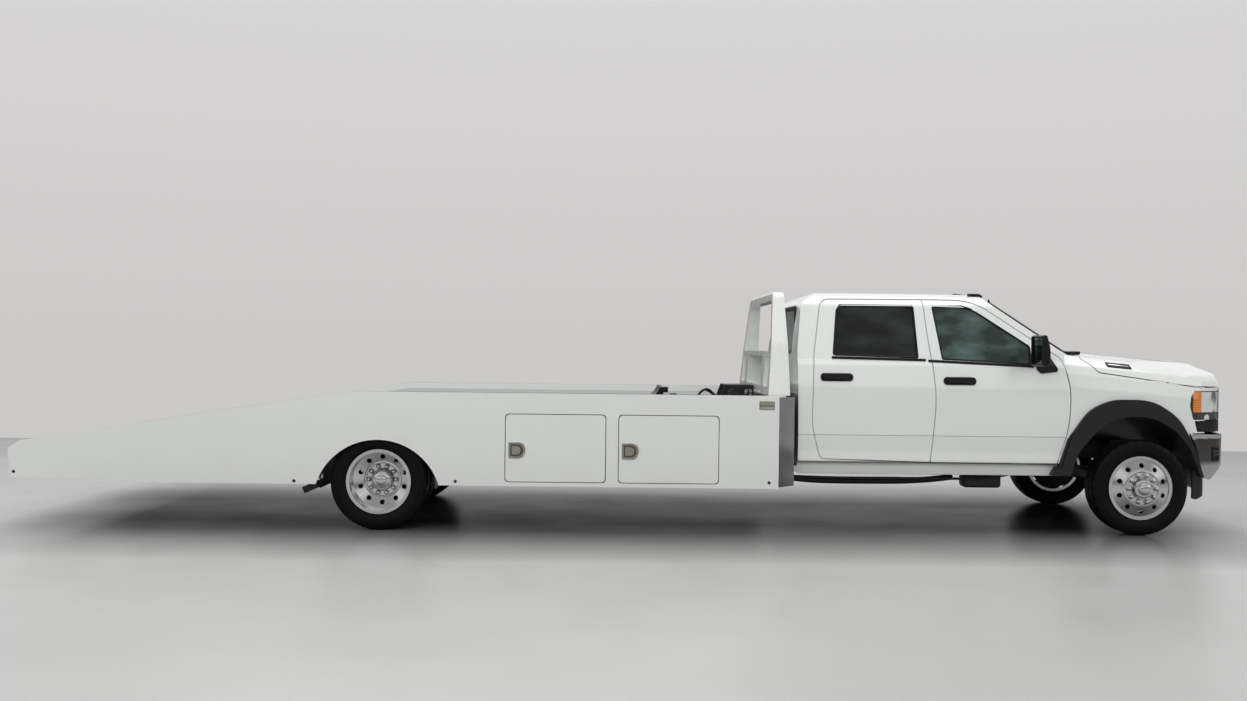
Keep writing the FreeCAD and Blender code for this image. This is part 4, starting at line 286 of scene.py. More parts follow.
def plastic(name, low, high, scale, gloss, strength, shine=0.22):
    material, tree, shader = new_material(name)
    shader.inputs["Specular IOR Level"].default_value = shine
    grain = use_group(tree, GRAIN, Scale=scale, Softness=0.4)
    wear = use_group(tree, WEATHERING, Dust=(0.16, 0.155, 0.15, 1), Amount=0.08, Gloss=gloss)
    tree.links.new(mixed(tree, grain.outputs["Mask"], low, high), wear.inputs["Colour"])
    tree.links.new(wear.outputs["Colour"], shader.inputs["Base Color"])
    tree.links.new(wear.outputs["Roughness"], shader.inputs["Roughness"])
    bump(tree, shader, grain.outputs["Height"], strength, 0.001)
    return material


def metal(name, low, high, along, gloss, spread, strength):
    material, tree, shader = new_material(name, metallic=1.0)
    lines = use_group(tree, BRUSHING, Along=along, Gloss=gloss, Spread=spread)
    where = object_place(tree)
    tree.links.new(mixed(tree, noise(tree, where, 6.0, 4.0), low, high), shader.inputs["Base Color"])
    tree.links.new(lines.outputs["Roughness"], shader.inputs["Roughness"])
    bump(tree, shader, lines.outputs["Height"], strength, 0.0005)
    return material


BODY_WHITE = (0.79, 0.815, 0.79, 1)
BED_WHITE = (0.77, 0.79, 0.765, 1)
ROAD_DUST = (0.52, 0.50, 0.47, 1)
DARK_DUST = (0.12, 0.115, 0.11, 1)
OIL_DUST = (0.05, 0.048, 0.046, 1)
ALONG_BAR = (10.0, 200.0, 200.0)
BODY_PAINT = painted("body_paint", BODY_WHITE, ROAD_DUST, 0.08, 0.14, 900.0, 0.03)
FENDER_PAINT = painted("fender_paint", BODY_WHITE, ROAD_DUST, 0.08, 0.14, 900.0, 0.03)
BED_PAINT = painted("bed_paint", BED_WHITE, ROAD_DUST, 0.12, 0.30, 500.0, 0.06)
DECK_PAINT = painted("deck_paint", (0.30, 0.315, 0.305, 1), DARK_DUST, 0.8, 0.55, 220.0, 0.3, 0.0)
RACK_PAINT = painted("rack_paint", BED_WHITE, ROAD_DUST, 0.12, 0.26, 500.0, 0.06)
CHASSIS = painted("chassis_black", (0.010, 0.010, 0.011, 1), OIL_DUST, 0.4, 0.45, 300.0, 0.12, 0.0)
BLACK_TRIM = plastic("black_trim", (0.005, 0.005, 0.0055, 1), (0.010, 0.010, 0.011, 1), 700.0, 0.34, 0.15)
GREY_TRIM = plastic("flare_plastic", (0.012, 0.0125, 0.014, 1), (0.024, 0.025, 0.027, 1), 500.0, 0.46, 0.25)
SEAL = plastic("seal_rubber", (0.008, 0.008, 0.008, 1), (0.016, 0.016, 0.016, 1), 900.0, 0.45, 0.1)
DASH = plastic("dash_plastic", (0.055, 0.055, 0.058, 1), (0.085, 0.085, 0.088, 1), 420.0, 0.55, 0.3)
CHROME = metal("chrome", (0.62, 0.63, 0.64, 1), (0.70, 0.71, 0.72, 1), (3.0, 40.0, 40.0), 0.05, 0.08, 0.01)
POLISHED = metal("polished_wheel", (0.52, 0.52, 0.53, 1), (0.66, 0.66, 0.67, 1), (90.0, 6.0, 90.0),
                 0.13, 0.22, 0.04)
STAINLESS = metal("stainless", (0.30, 0.30, 0.30, 1), (0.46, 0.46, 0.46, 1), (8.0, 8.0, 300.0),
                  0.14, 0.25, 0.04)
EXHAUST = metal("exhaust_steel", (0.22, 0.20, 0.18, 1), (0.36, 0.34, 0.32, 1), (8.0, 160.0, 160.0),
                0.35, 0.3, 0.1)
DRUM = metal("drum_steel", (0.16, 0.16, 0.165, 1), (0.28, 0.28, 0.29, 1), (200.0, 6.0, 200.0),
             0.30, 0.3, 0.1)
LATCH = metal("latch_steel", (0.34, 0.31, 0.26, 1), (0.50, 0.47, 0.42, 1), ALONG_BAR, 0.18, 0.2, 0.03)
BRONZE = metal("paddle_steel", (0.10, 0.085, 0.06, 1), (0.20, 0.175, 0.13, 1), ALONG_BAR, 0.25, 0.3, 0.05)
WHITE_LENS = plastic("white_lens", (0.70, 0.70, 0.68, 1), (0.80, 0.80, 0.78, 1), 300.0, 0.12, 0.05)
RED_LENS = plastic("red_lens", (0.36, 0.012, 0.01, 1), (0.50, 0.02, 0.015, 1), 250.0, 0.12, 0.1)


def tyre_rubber():
    material, tree, shader = new_material("tyre_rubber")
    shader.inputs["Specular IOR Level"].default_value = 0.12
    wear = use_group(tree, WEATHERING, Colour=(0.0035, 0.0035, 0.004, 1), Dust=(0.02, 0.019, 0.018, 1),
                     Amount=0.3, Gloss=0.46)
    grain = use_group(tree, GRAIN, Scale=350.0, Softness=0.5)
    tree.links.new(wear.outputs["Colour"], shader.inputs["Base Color"])
    tree.links.new(wear.outputs["Roughness"], shader.inputs["Roughness"])
    bump(tree, shader, grain.outputs["Height"], 0.15, 0.001)
    return material


def glass(name, tint, alpha, rough=0.02):
    """Thin tinted glass: mostly a dark gloss with some of what is behind it, its tint broken by darker cloudy
    streaks as a painted reflection.
    """
    material, tree, shader = new_material(name)
    shader.inputs["Specular IOR Level"].default_value = 0.35
    where = object_place(tree)
    haze = ranged(tree, noise(tree, where, 3.0, 3.0), 0.3, 0.7, alpha - 0.03, alpha + 0.03)
    smear = ranged(tree, noise(tree, where, 9.0, 4.0), 0.3, 0.8, rough, rough + 0.05)
    # painted reflection: the tint mixed with a darker copy of itself in cloudy horizontal streaks
    low = tuple(part * 0.25 for part in tint[:3]) + (1,)
    cloud = ranged(tree, noise(tree, where, 2.6, 5.0, (1.0, 1.0, 2.4)), 0.42, 0.66)
    tree.links.new(mixed(tree, cloud, low, tint), shader.inputs["Base Color"])
    tree.links.new(haze, shader.inputs["Alpha"])
    tree.links.new(smear, shader.inputs["Roughness"])
    return material


SEAT_CHANNEL = 0.13


def cloth():
    material, tree, shader = new_material("seat_cloth", roughness=0.85)
    shader.inputs["Sheen Weight"].default_value = 0.3
    threads = use_group(tree, WEAVE, Scale=1400.0)
    tree.links.new(mixed(tree, threads.outputs["Mask"], (0.055, 0.056, 0.06, 1), (0.12, 0.12, 0.125, 1)),
                   shader.inputs["Base Color"])
    axes = axes_of(tree, object_place(tree))
    fold = maths(tree, "PINGPONG", axes["Y"], SEAT_CHANNEL / 2)
    fine = maths(tree, "MULTIPLY", threads.outputs["Height"], 0.04)
    bump(tree, shader, maths(tree, "ADD", ranged(tree, fold, 0.0, 0.010), fine), 0.9, 0.008)
    return material


DOOR_LINE = (0.797, 0.803)
LEDGE_TOP = (0.68, 0.60)
LEDGE_FOOT = (0.565, 0.578)


def add_creases():
    """The pressed line along the doors and the ledge above the sills, as a height by distance from the ground."""
    tree = BODY_PAINT.node_tree
    axes = axes_of(tree, object_place(tree))
    z = axes["Z"]
    step = ranged(tree, z, *DOOR_LINE, 0.0, 0.35)
    ledge = maths(tree, "MINIMUM", ranged(tree, z, *LEDGE_TOP), ranged(tree, z, *LEDGE_FOOT))
    node = tree.nodes.new("ShaderNodeBump")
    node.inputs["Distance"].default_value = 0.014
    tree.links.new(maths(tree, "ADD", step, ledge), node.inputs["Height"])
    peel = next(other for other in tree.nodes if other.type == "BUMP" and other != node)
    tree.links.new(node.outputs["Normal"], peel.inputs["Normal"])


WELL_HALF = (0.925, 0.935)
WELL_TOP = (1.17, 1.18)
WELL_FRONT = (AXLE_X + 0.40, AXLE_X + 0.42)


def blacken_arches():
    """The wheel wells are black inside the painted skin."""
    tree = FENDER_PAINT.node_tree
    shader = tree.nodes["Principled BSDF"]
    axes = axes_of(tree, object_place(tree))
    inner = ranged(tree, maths(tree, "ABSOLUTE", axes["Y"]), *WELL_HALF, 1.0, 0.0)
    low = ranged(tree, axes["Z"], *WELL_TOP, 1.0, 0.0)
    behind = ranged(tree, axes["X"], *WELL_FRONT, 1.0, 0.0)
    well = maths(tree, "MULTIPLY", maths(tree, "MULTIPLY", inner, low), behind)
    paint = shader.inputs["Base Color"].links[0].from_socket
    tree.links.new(mixed(tree, well, paint, (0.006, 0.006, 0.006, 1)), shader.inputs["Base Color"])
    tree.links.new(ranged(tree, well, 0.0, 1.0, 0.6, 0.0), shader.inputs["Coat Weight"])


LAMP_REAR = AXLE_X + 0.155 * SPAN
SMALL_LAMP = (AXLE_X + 0.585, 0.972)
LAMP_FOOT = (1.016, 1.022)
LAMP_TOP = (1.184, 1.188)
LAMP_BROW = (1.193, 1.196)
BOWLS = (0.36, 0.50)


def headlamp_finish():
    """Amber marker at the rear edge, bowls ahead of it whose bright and dark blotches are a painted reflection,
    and a dark border below.
    """
    material, tree, shader = new_material("headlamp_lens", coat=1.0, roughness=0.08)
    where = object_place(tree)
    axes = axes_of(tree, where)
    ripple = noise(tree, where, 13.0, 1.0, (1.0, 1.0, 0.6))
    # painted reflection: the chrome bowls drawn as bright white broken by dark blotches
    bowls_painted_reflection = mixed(tree, ranged(tree, ripple, *BOWLS), (0.10, 0.105, 0.11, 1), (0.86, 0.88, 0.89, 1))
    amber = ranged(tree, axes["X"], LAMP_REAR + 0.088, LAMP_REAR + 0.094, 1.0, 0.0)
    fluted = maths(tree, "SINE", maths(tree, "MULTIPLY", axes["Z"], 420.0))
    glow = mixed(tree, ranged(tree, fluted, -1.0, 1.0), (0.55, 0.13, 0.01, 1), (0.86, 0.30, 0.03, 1))
    inner = mixed(tree, amber, bowls_painted_reflection, glow)
    top = ranged(tree, axes["Z"], *LAMP_TOP)
    brow = ranged(tree, axes["Z"], *LAMP_BROW)
    low = ranged(tree, axes["Z"], *LAMP_FOOT, 1.0, 0.0)
    rear = ranged(tree, axes["X"], LAMP_REAR + 0.010, LAMP_REAR + 0.016, 1.0, 0.0)
    border = maths(tree, "MAXIMUM", maths(tree, "MAXIMUM", top, low), rear)
    across = maths(tree, "SUBTRACT", axes["X"], SMALL_LAMP[0])
    above = maths(tree, "SUBTRACT", axes["Z"], SMALL_LAMP[1])
    reach = maths(tree, "SQRT", maths(tree, "ADD", maths(tree, "MULTIPLY", across, across),
                                      maths(tree, "MULTIPLY", above, above)))
    border = maths(tree, "MULTIPLY", border, ranged(tree, reach, 0.026, 0.029))
    housing = mixed(tree, border, inner, (0.012, 0.012, 0.013, 1))
    tree.links.new(mixed(tree, brow, housing, BODY_WHITE), shader.inputs["Base Color"])
    bright = maths(tree, "MULTIPLY", ranged(tree, ripple, *BOWLS, 0.1, 0.4),
                   maths(tree, "SUBTRACT", 1.0, maths(tree, "MAXIMUM", border, amber)))
    tree.links.new(bright, shader.inputs["Metallic"])
    bump(tree, shader, ripple, 0.4, 0.01)
    return material


def bumper_painted_reflection():
    """Chrome with a painted reflection in its colour: a dark ground below a bright line and lighter again at the
    foot, as in a low reflection of the yard.
    """
    material, tree, shader = new_material("bumper_chrome_painted_reflection", metallic=1.0)
    where = object_place(tree)
    axes = axes_of(tree, where)
    wave = maths(tree, "MULTIPLY", noise(tree, where, 9.0, 3.0), 0.03)
    height = maths(tree, "ADD", axes["Z"], wave)
    # painted reflection: bright chrome above the line, a dark reflected ground below it, lighter again at the foot
    painted_reflection_top = ranged(tree, height, 0.812, 0.822)
    foot = ranged(tree, height, 0.63, 0.59)
    tone = mixed(tree, maths(tree, "MAXIMUM", painted_reflection_top, maths(tree, "MULTIPLY", foot, 0.6)),
                 (0.10, 0.095, 0.09, 1), (0.66, 0.66, 0.66, 1))
    tree.links.new(tone, shader.inputs["Base Color"])
    lines = use_group(tree, BRUSHING, Along=(3.0, 40.0, 40.0), Gloss=0.06, Spread=0.08)
    tree.links.new(lines.outputs["Roughness"], shader.inputs["Roughness"])
    return material


RUBBER = tyre_rubber()
SIDE_GLASS = glass("side_glass", (0.11, 0.17, 0.155, 1), 0.86)
REAR_GLASS = glass("rear_glass", (0.030, 0.033, 0.034, 1), 0.94)
FRONT_GLASS = glass("windscreen", (0.030, 0.042, 0.040, 1), 0.62)
BUMPER = bumper_painted_reflection()
MIRROR_GLASS = metal("mirror_glass", (0.05, 0.055, 0.06, 1), (0.08, 0.085, 0.09, 1), (2.0, 2.0, 2.0),
                     0.03, 0.02, 0.0)
CLOTH = cloth()
HEADLAMP = headlamp_finish()
add_creases()
blacken_arches()
FINISHES = {
    "body_paint": BODY_PAINT, "bed_paint": BED_PAINT, "deck_paint": DECK_PAINT, "chassis_black": CHASSIS,
    "chrome_trim": CHROME, "polished_wheel": POLISHED, "polished_steel": STAINLESS, "tyre_rubber": RUBBER,
    "black_plastic": BLACK_TRIM, "stop_rubber": BLACK_TRIM, "window_glass": SIDE_GLASS,
    "lamp_lens": HEADLAMP, "red_lens": RED_LENS, "seat_fabric": CLOTH, "dash_plastic": DASH,
    "exhaust_steel": EXHAUST, "drum_steel": DRUM}
NODE_FINISHES = {
    "fender_flares": GREY_TRIM, "fenders": FENDER_PAINT, "front_bumper": BUMPER, "headache_rack": RACK_PAINT,
    "glass_rr": REAR_GLASS, "glass_rl": REAR_GLASS, "cab_glass": FRONT_GLASS, "powertrain": CHASSIS}


def dress_nodes():
    for row in frame["record"]["subparts"]:
        node = NODES[row["node"]]
        node.data.materials.clear()
        node.data.materials.append(NODE_FINISHES.get(row["node"], FINISHES[row["material_slot"]]))


# Studio: a pale floor with a painted shadow under the truck, a pale surround and soft lamps

FLOOR_BACK = 7.3
FLOOR_SPAN = 120.0
SURROUND_LOW = (0.60, 0.585, 0.58, 1)
SURROUND_HIGH = (0.80, 0.80, 0.80, 1)
AMBIENT = 0.36
REFLECTED = ((0.05, 0.10), (0.22, 0.05), (0.27, 0.80), (0.42, 0.95), (0.50, 0.25), (0.66, 0.55), (0.80, 0.90))


LAMPS = (("overhead", (0, 0.5, 7.0), (0, 0, 0.6), 15.0, 5.0, 380, True),
         ("camera_side", (-1.0, -10.5, 6.8), (-0.5, 0, 0.8), 21.0, 3.0, 770, False),
         ("far_side", (-1.0, 11.5, 6.5), (0, 0, 0.8), 15.0, 3.5, 90, True),
         ("nose_side", (13.0, -2.0, 5.0), (3, 0, 0.8), 6.0, 3.5, 110, True),
         ("tail_side", (-13.0, -2.0, 5.0), (-3, 0, 0.8), 6.0, 3.5, 150, True))


def area_lamp(name, place, target, width, depth, power, mirrored):
    data = bpy.data.lights.new(name, "AREA")
    data.shape = "RECTANGLE"
    data.size = width
    data.size_y = depth
    data.energy = power
    lamp = bpy.data.objects.new(name, data)
    lamp.location = place
    lamp.rotation_euler = (Vector(target) - Vector(place)).to_track_quat("-Z", "Y").to_euler()
    lamp.visible_camera = False
    lamp.visible_glossy = mirrored
    bpy.context.scene.collection.objects.link(lamp)


def add_world():
    world = bpy.data.worlds.new("surround")
    bpy.context.scene.world = world
    world.use_nodes = True
    tree = world.node_tree
    shown = tree.nodes["Background"]
    light = tree.nodes.new("ShaderNodeBackground")
    light.inputs["Color"].default_value = (1, 1, 1, 1)
    light.inputs["Strength"].default_value = AMBIENT
    axes = axes_of(tree, tree.nodes.new("ShaderNodeTexCoord").outputs["Generated"])
    tree.links.new(mixed(tree, ranged(tree, axes["Z"], 0.0, 0.7), SURROUND_LOW, SURROUND_HIGH),
                   shown.inputs["Color"])
    path = tree.nodes.new("ShaderNodeLightPath")
    seen = maths(tree, "MAXIMUM", path.outputs["Is Camera Ray"], path.outputs["Is Transmission Ray"])
    mirrored = tree.nodes.new("ShaderNodeBackground")
    bands = tree.nodes.new("ShaderNodeValToRGB")
    for place, tone in REFLECTED:
        stop = bands.color_ramp.elements.new(place)
        stop.color = (tone, tone, tone, 1)
    tree.links.new(ranged(tree, axes["Z"], -0.2, 1.0), bands.inputs["Fac"])
    tree.links.new(bands.outputs["Color"], mirrored.inputs["Color"])
    shine = tree.nodes.new("ShaderNodeMixShader")
    tree.links.new(path.outputs["Is Glossy Ray"], shine.inputs["Fac"])
    tree.links.new(light.outputs[0], shine.inputs[1])
    tree.links.new(mirrored.outputs[0], shine.inputs[2])
    pick = tree.nodes.new("ShaderNodeMixShader")
    tree.links.new(seen, pick.inputs["Fac"])
    tree.links.new(shine.outputs[0], pick.inputs[1])
    tree.links.new(shown.outputs[0], pick.inputs[2])
    tree.links.new(pick.outputs[0], tree.nodes["World Output"].inputs["Surface"])


def add_studio():
    add_world()
    bpy.ops.mesh.primitive_plane_add(size=FLOOR_SPAN, location=(0, FLOOR_BACK - FLOOR_SPAN / 2, 0))
    floor = bpy.context.object
    floor.name = "studio_floor"
    material, tree, shader = new_material("studio_floor", roughness=0.38)
    where = object_place(tree)
    tone = mixed(tree, noise(tree, where, 0.8, 5.0), (0.47, 0.465, 0.46, 1), (0.585, 0.58, 0.575, 1))
    axes = axes_of(tree, where)
    along = ranged(tree, maths(tree, "ABSOLUTE", axes["X"]), 4.3, 5.3, 1.0, 0.0)
    across = maths(tree, "ADD", axes["Y"], floor.location.y)
    across = ranged(tree, maths(tree, "ABSOLUTE", across), 0.7, 2.5, 1.0, 0.0)
    # painted shadow: the floor turns near black under the truck, fading out past its edges, and shines less there
    painted_shadow = maths(tree, "POWER", maths(tree, "MULTIPLY", along, across), 0.8)
    tree.links.new(mixed(tree, painted_shadow, tone, (0.010, 0.010, 0.011, 1)), shader.inputs["Base Color"])
    tree.links.new(ranged(tree, painted_shadow, 0.0, 1.0, 0.5, 0.05), shader.inputs["Specular IOR Level"])
    tree.links.new(ranged(tree, noise(tree, where, 1.4, 5.0), 0.1, 0.9, 0.26, 0.40), shader.inputs["Roughness"])
    floor.data.materials.append(material)
    for lamp in LAMPS:
        area_lamp(*lamp)


# Modelling helpers

def on_axle(x, y, z):
    """A place given from the front axle along the truck."""
    return Vector((AXLE_X + x, y, z))


def alone(obj):
    bpy.ops.object.select_all(action="DESELECT")
    obj.select_set(True)
    bpy.context.view_layer.objects.active = obj


def select_faces(obj, chosen):
    """Leave edit mode on with just the faces selected that the test takes."""
    alone(obj)
    bpy.ops.object.mode_set(mode="EDIT")
    bpy.ops.mesh.select_mode(type="FACE")
    bpy.ops.mesh.select_all(action="DESELECT")
    bpy.ops.object.mode_set(mode="OBJECT")
    for polygon in obj.data.polygons:
        polygon.select = bool(chosen(polygon))
    bpy.ops.object.mode_set(mode="EDIT")


def leave_edit():
    bpy.ops.object.mode_set(mode="OBJECT")


def apply_modifier(obj, kind, **settings):
    alone(obj)
    modifier = obj.modifiers.new("step", kind)
    for name, value in settings.items():
        setattr(modifier, name, value)
    bpy.ops.object.modifier_apply(modifier=modifier.name)


def tidy_mesh(obj):
    """Merge double points and turn every face outwards."""
    alone(obj)
    bpy.ops.object.mode_set(mode="EDIT")
    bpy.ops.mesh.select_all(action="SELECT")
    bpy.ops.mesh.remove_doubles(threshold=0.00005)
    bpy.ops.mesh.normals_make_consistent(inside=False)
    leave_edit()


def finish_piece(obj, name, body, material, smooth=40.0):
    alone(obj)
    bpy.ops.object.transform_apply(location=True, rotation=True, scale=True)
    obj.name = name
    obj.data.name = name
    obj.data.materials.clear()
    obj.data.materials.append(material)
    bpy.ops.object.shade_smooth_by_angle(angle=math.radians(smooth))
    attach(obj, body)
    return obj


def block(centre, size, bevel=0.0, segments=2, turn=(0, 0, 0)):
    """A block at its size and place, its edges rounded, then turned about its centre."""
    bpy.ops.object.select_all(action="DESELECT")
    bpy.ops.mesh.primitive_cube_add(size=1, location=(0, 0, 0))
    obj = bpy.context.object
    obj.scale = size
    bpy.ops.object.transform_apply(location=False, rotation=False, scale=True)
    if bevel:
        apply_modifier(obj, "BEVEL", width=bevel, segments=segments, limit_method="ANGLE")
    obj.rotation_euler = turn
    obj.location = centre
    bpy.ops.object.transform_apply(location=True, rotation=True, scale=False)
    return obj


def turned(centre, steps, segments, closed=False):
    """A shape turned about an axis along Y. Steps are (offset along Y, radius)."""
    bpy.ops.object.select_all(action="DESELECT")
    fill = "NOTHING" if closed else "NGON"
    start, radius = steps[0]
    place = Vector(centre) + Vector((0, start, 0))
    bpy.ops.mesh.primitive_circle_add(vertices=segments, radius=radius, fill_type=fill, location=place,
                                      rotation=(math.pi / 2, 0, 0))
    obj = bpy.context.object
    bpy.ops.object.transform_apply(location=True, rotation=True, scale=True)
    bpy.ops.object.mode_set(mode="EDIT")
    bpy.ops.mesh.select_mode(type="EDGE" if closed else "FACE")
    bpy.ops.mesh.select_all(action="SELECT")
    rounds = list(steps[1:]) + ([steps[0]] if closed else [])
    for offset, reach in rounds:
        bpy.ops.mesh.extrude_region_move(TRANSFORM_OT_translate={"value": (0, offset - start, 0)})
        pivot = Vector(centre) + Vector((0, offset, 0))
        bpy.ops.transform.resize(value=(reach / radius, 1, reach / radius), center_override=pivot)
        start, radius = offset, reach
    leave_edit()
    tidy_mesh(obj)
    return obj


def copy_of(obj, name, move):
    """A copy with its own mesh, moved or mirrored by a matrix."""
    twin = obj.copy()
    twin.data = obj.data.copy()
    twin.name = name
    twin.data.name = name
    bpy.context.scene.collection.objects.link(twin)
    twin.data.transform(move)
    if move.determinant() < 0:
        twin.data.flip_normals()
    return twin


def joined(objects):
    bpy.ops.object.select_all(action="DESELECT")
    for obj in objects:
        obj.select_set(True)
    bpy.context.view_layer.objects.active = objects[0]
    bpy.ops.object.join()
    return objects[0]


MIRROR = Matrix.Scale(-1, 4, (0, 1, 0))


def both_sides(obj, name, body, material, smooth=40.0):
    """Finish the right piece and its mirror image on the left. The body's name ends in the side's letter."""
    finish_piece(obj, name + "_r", body.format("r"), material, smooth)
    twin = copy_of(obj, name + "_l", MIRROR)
    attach(twin, body.format("l"))


# Wheels

TREAD_GROOVES = (-0.054, 0.0, 0.054)
GROOVE_DEPTH = 0.011
CROWN_DROP = 0.0045
NOTCH_PITCH = 12.0
NOTCH_SPAN = 3.0
NOTCH_DEPTH = 0.007


def tyre_steps():
    half = TYRE_W / 2
    wall = [(-0.086, 0.2485), (-0.086, 0.262), (-0.092, 0.272), (-0.104, 0.290), (-half, 0.312), (-half, 0.336),
            (-half + 0.002, 0.3375), (-half + 0.002, 0.3405), (-half, 0.342), (-half + 0.003, 0.358),
            (-half + 0.008, 0.374), (-half + 0.016, TYRE_R - 0.0055), (-half + 0.026, TYRE_R - CROWN_DROP)]
    tread = []
    for y in TREAD_GROOVES:
        crown = TYRE_R - CROWN_DROP * (abs(y) / half) ** 2
        foot = crown - GROOVE_DEPTH
        tread += [(y - 0.007, crown), (y - 0.005, foot), (y + 0.005, foot), (y + 0.007, crown)]
    return wall + tread + [(-offset, radius) for offset, radius in reversed(wall)]


def make_tyre(centre):
    obj = turned(centre, tyre_steps(), 120, closed=True)

    def in_notch(polygon):
        spot = polygon.center - Vector(centre)
        radius = math.hypot(spot.x, spot.z)
        turn = math.degrees(math.atan2(spot.z, spot.x)) % NOTCH_PITCH
        return radius > TYRE_R - 0.012 and abs(spot.y) > 0.066 and turn < NOTCH_SPAN

    select_faces(obj, in_notch)
    bpy.ops.mesh.inset(thickness=0.0008, depth=-NOTCH_DEPTH, use_individual=True)
    leave_edit()
    return obj


def add_tyres():
    front = make_tyre((AXLE_X, FRONT_Y, TYRE_R))
    moves = [Matrix.Translation((REAR_X - AXLE_X, y - FRONT_Y, 0)) for y in REAR_YS]
    rear = [copy_of(front, "rear_tyre", move) for move in moves]
    both_sides(front, "tyre_front", "front_wheel_{}", RUBBER, 30)
    pair = joined(rear)
    both_sides(pair, "tyres_rear", "rear_wheels_{}", RUBBER, 30)
    for side in "rl":
        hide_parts("tyre_f" + side)
        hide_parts("tyres_r" + side)


LUG_RING = 0.112
LUGS = 10
LUG_STEPS = ((0, 0.0215), (-0.006, 0.0215), (-0.009, 0.0175), (-0.028, 0.0165), (-0.034, 0.013), (-0.037, 0.006))
FRONT_RING = ((0.004, 0.158), (-0.002, 0.157), (-0.006, 0.150), (-0.006, 0.136), (-0.001, 0.131), (-0.001, 0.090),
              (-0.010, 0.086), (-0.016, 0.084))
FRONT_CAP = ((-0.028, 0.079), (-0.036, 0.078), (-0.043, 0.074), (-0.046, 0.066), (-0.046, 0.052), (-0.050, 0.050),
             (-0.062, 0.048), (-0.068, 0.040), (-0.071, 0.020))
REAR_RING = ((0.004, 0.158), (-0.003, 0.156), (-0.007, 0.148), (-0.007, 0.136), (-0.001, 0.131), (-0.001, 0.096),
             (-0.008, 0.094))
REAR_CAP = ((-0.026, 0.090), (-0.040, 0.090), (-0.052, 0.086), (-0.064, 0.076), (-0.072, 0.060), (-0.074, 0.046),
            (-0.080, 0.044), (-0.086, 0.030), (-0.088, 0.014))
HUBS = (("front", "front_wheel_{}", (AXLE_X, FRONT_Y, TYRE_R), -0.119, FRONT_RING, FRONT_CAP),
        ("rear", "rear_wheels_{}", (REAR_X, REAR_YS[0], TYRE_R), 0.082, REAR_RING, REAR_CAP))


def lug_covers(centre, base):
    """Ten rounded covers over the wheel's studs."""
    covers = []
    first = turned((centre[0], centre[1] + base, centre[2] + LUG_RING), LUG_STEPS, 16)
    for i in range(LUGS):
        turn = Matrix.Rotation(2 * math.pi * (i + 0.5) / LUGS, 4, "Y")
        about = Matrix.Translation(centre) @ turn @ Matrix.Translation(-Vector(centre))
        covers.append(copy_of(first, "cover", about))
    bpy.data.objects.remove(first)
    return joined(covers)


def add_wheel_covers():
    """Hub ring, cap and lug covers. Their steps are measured from the rim's outer face."""
    for pair, body, hub, face, ring_steps, cap_steps in HUBS:
        ring = turned(hub, [(face + y, radius) for y, radius in ring_steps], 72)
        both_sides(ring, pair + "_hub_ring", body, POLISHED, 35)
        cap = turned(hub, [(face + y, radius) for y, radius in cap_steps], 56)
        both_sides(cap, pair + "_hub_cap", body, POLISHED, 35)
        both_sides(lug_covers(hub, face - 0.001), pair + "_lug_covers", body, POLISHED)


# Windows: seals made from the outer face of each pane

def pane_face(node, name, facing):
    """A copy of the side of a pane that looks one way, in edit mode."""
    source = NODES[node]
    pane = source.copy()
    pane.data = source.data.copy()
    pane.name = name
    bpy.context.scene.collection.objects.link(pane)
    tidy_mesh(pane)
    select_faces(pane, lambda polygon: polygon.normal.dot(Vector(facing)) < 0.6)
    bpy.ops.mesh.delete(type="FACE")
    bpy.ops.mesh.select_all(action="SELECT")
    bpy.ops.mesh.dissolve_limited(angle_limit=math.radians(0.5))
    bpy.ops.mesh.select_all(action="SELECT")
    return pane


def rim_of_pane(node, name, facing, edge, width, height):
    """A raised band just inside the edge of a pane's face."""
    pane = pane_face(node, name, facing)
    bpy.ops.mesh.inset(thickness=edge, use_boundary=True)
    bpy.ops.mesh.select_all(action="INVERT")
    bpy.ops.mesh.delete(type="FACE")
    bpy.ops.mesh.select_all(action="SELECT")
    bpy.ops.mesh.inset(thickness=width, use_boundary=True)
    bpy.ops.mesh.delete(type="FACE")
    leave_edit()
    apply_modifier(pane, "SOLIDIFY", thickness=height, offset=1.0)
    return pane


SCREEN_FACING = (0.62, 0, 0.785)
BELTS = (("rear", (-2.535, 1.4390, 0.942), (-1.757, 1.4238, 0.948)),
         ("front", (-1.736, 1.4185, 0.952), (-0.868, 1.3830, 0.978)))


def bar(start, end, width, depth, bevel):
    """A rounded bar between two points, wide upwards and deep sideways."""
    start = Vector(start)
    end = Vector(end)
    turn = (end - start).to_track_quat("X", "Z").to_euler()
    return block((start + end) / 2, ((end - start).length, depth, width), bevel, 3, turn)


def add_belts():
    for pair, start, end in BELTS:
        points = [on_axle(x, -y, z) for x, z, y in (start, end)]
        both_sides(bar(points[0], points[1], 0.022, 0.020, 0.005), "belt_moulding_" + pair, pair + "_door_{}",
                   SEAL)


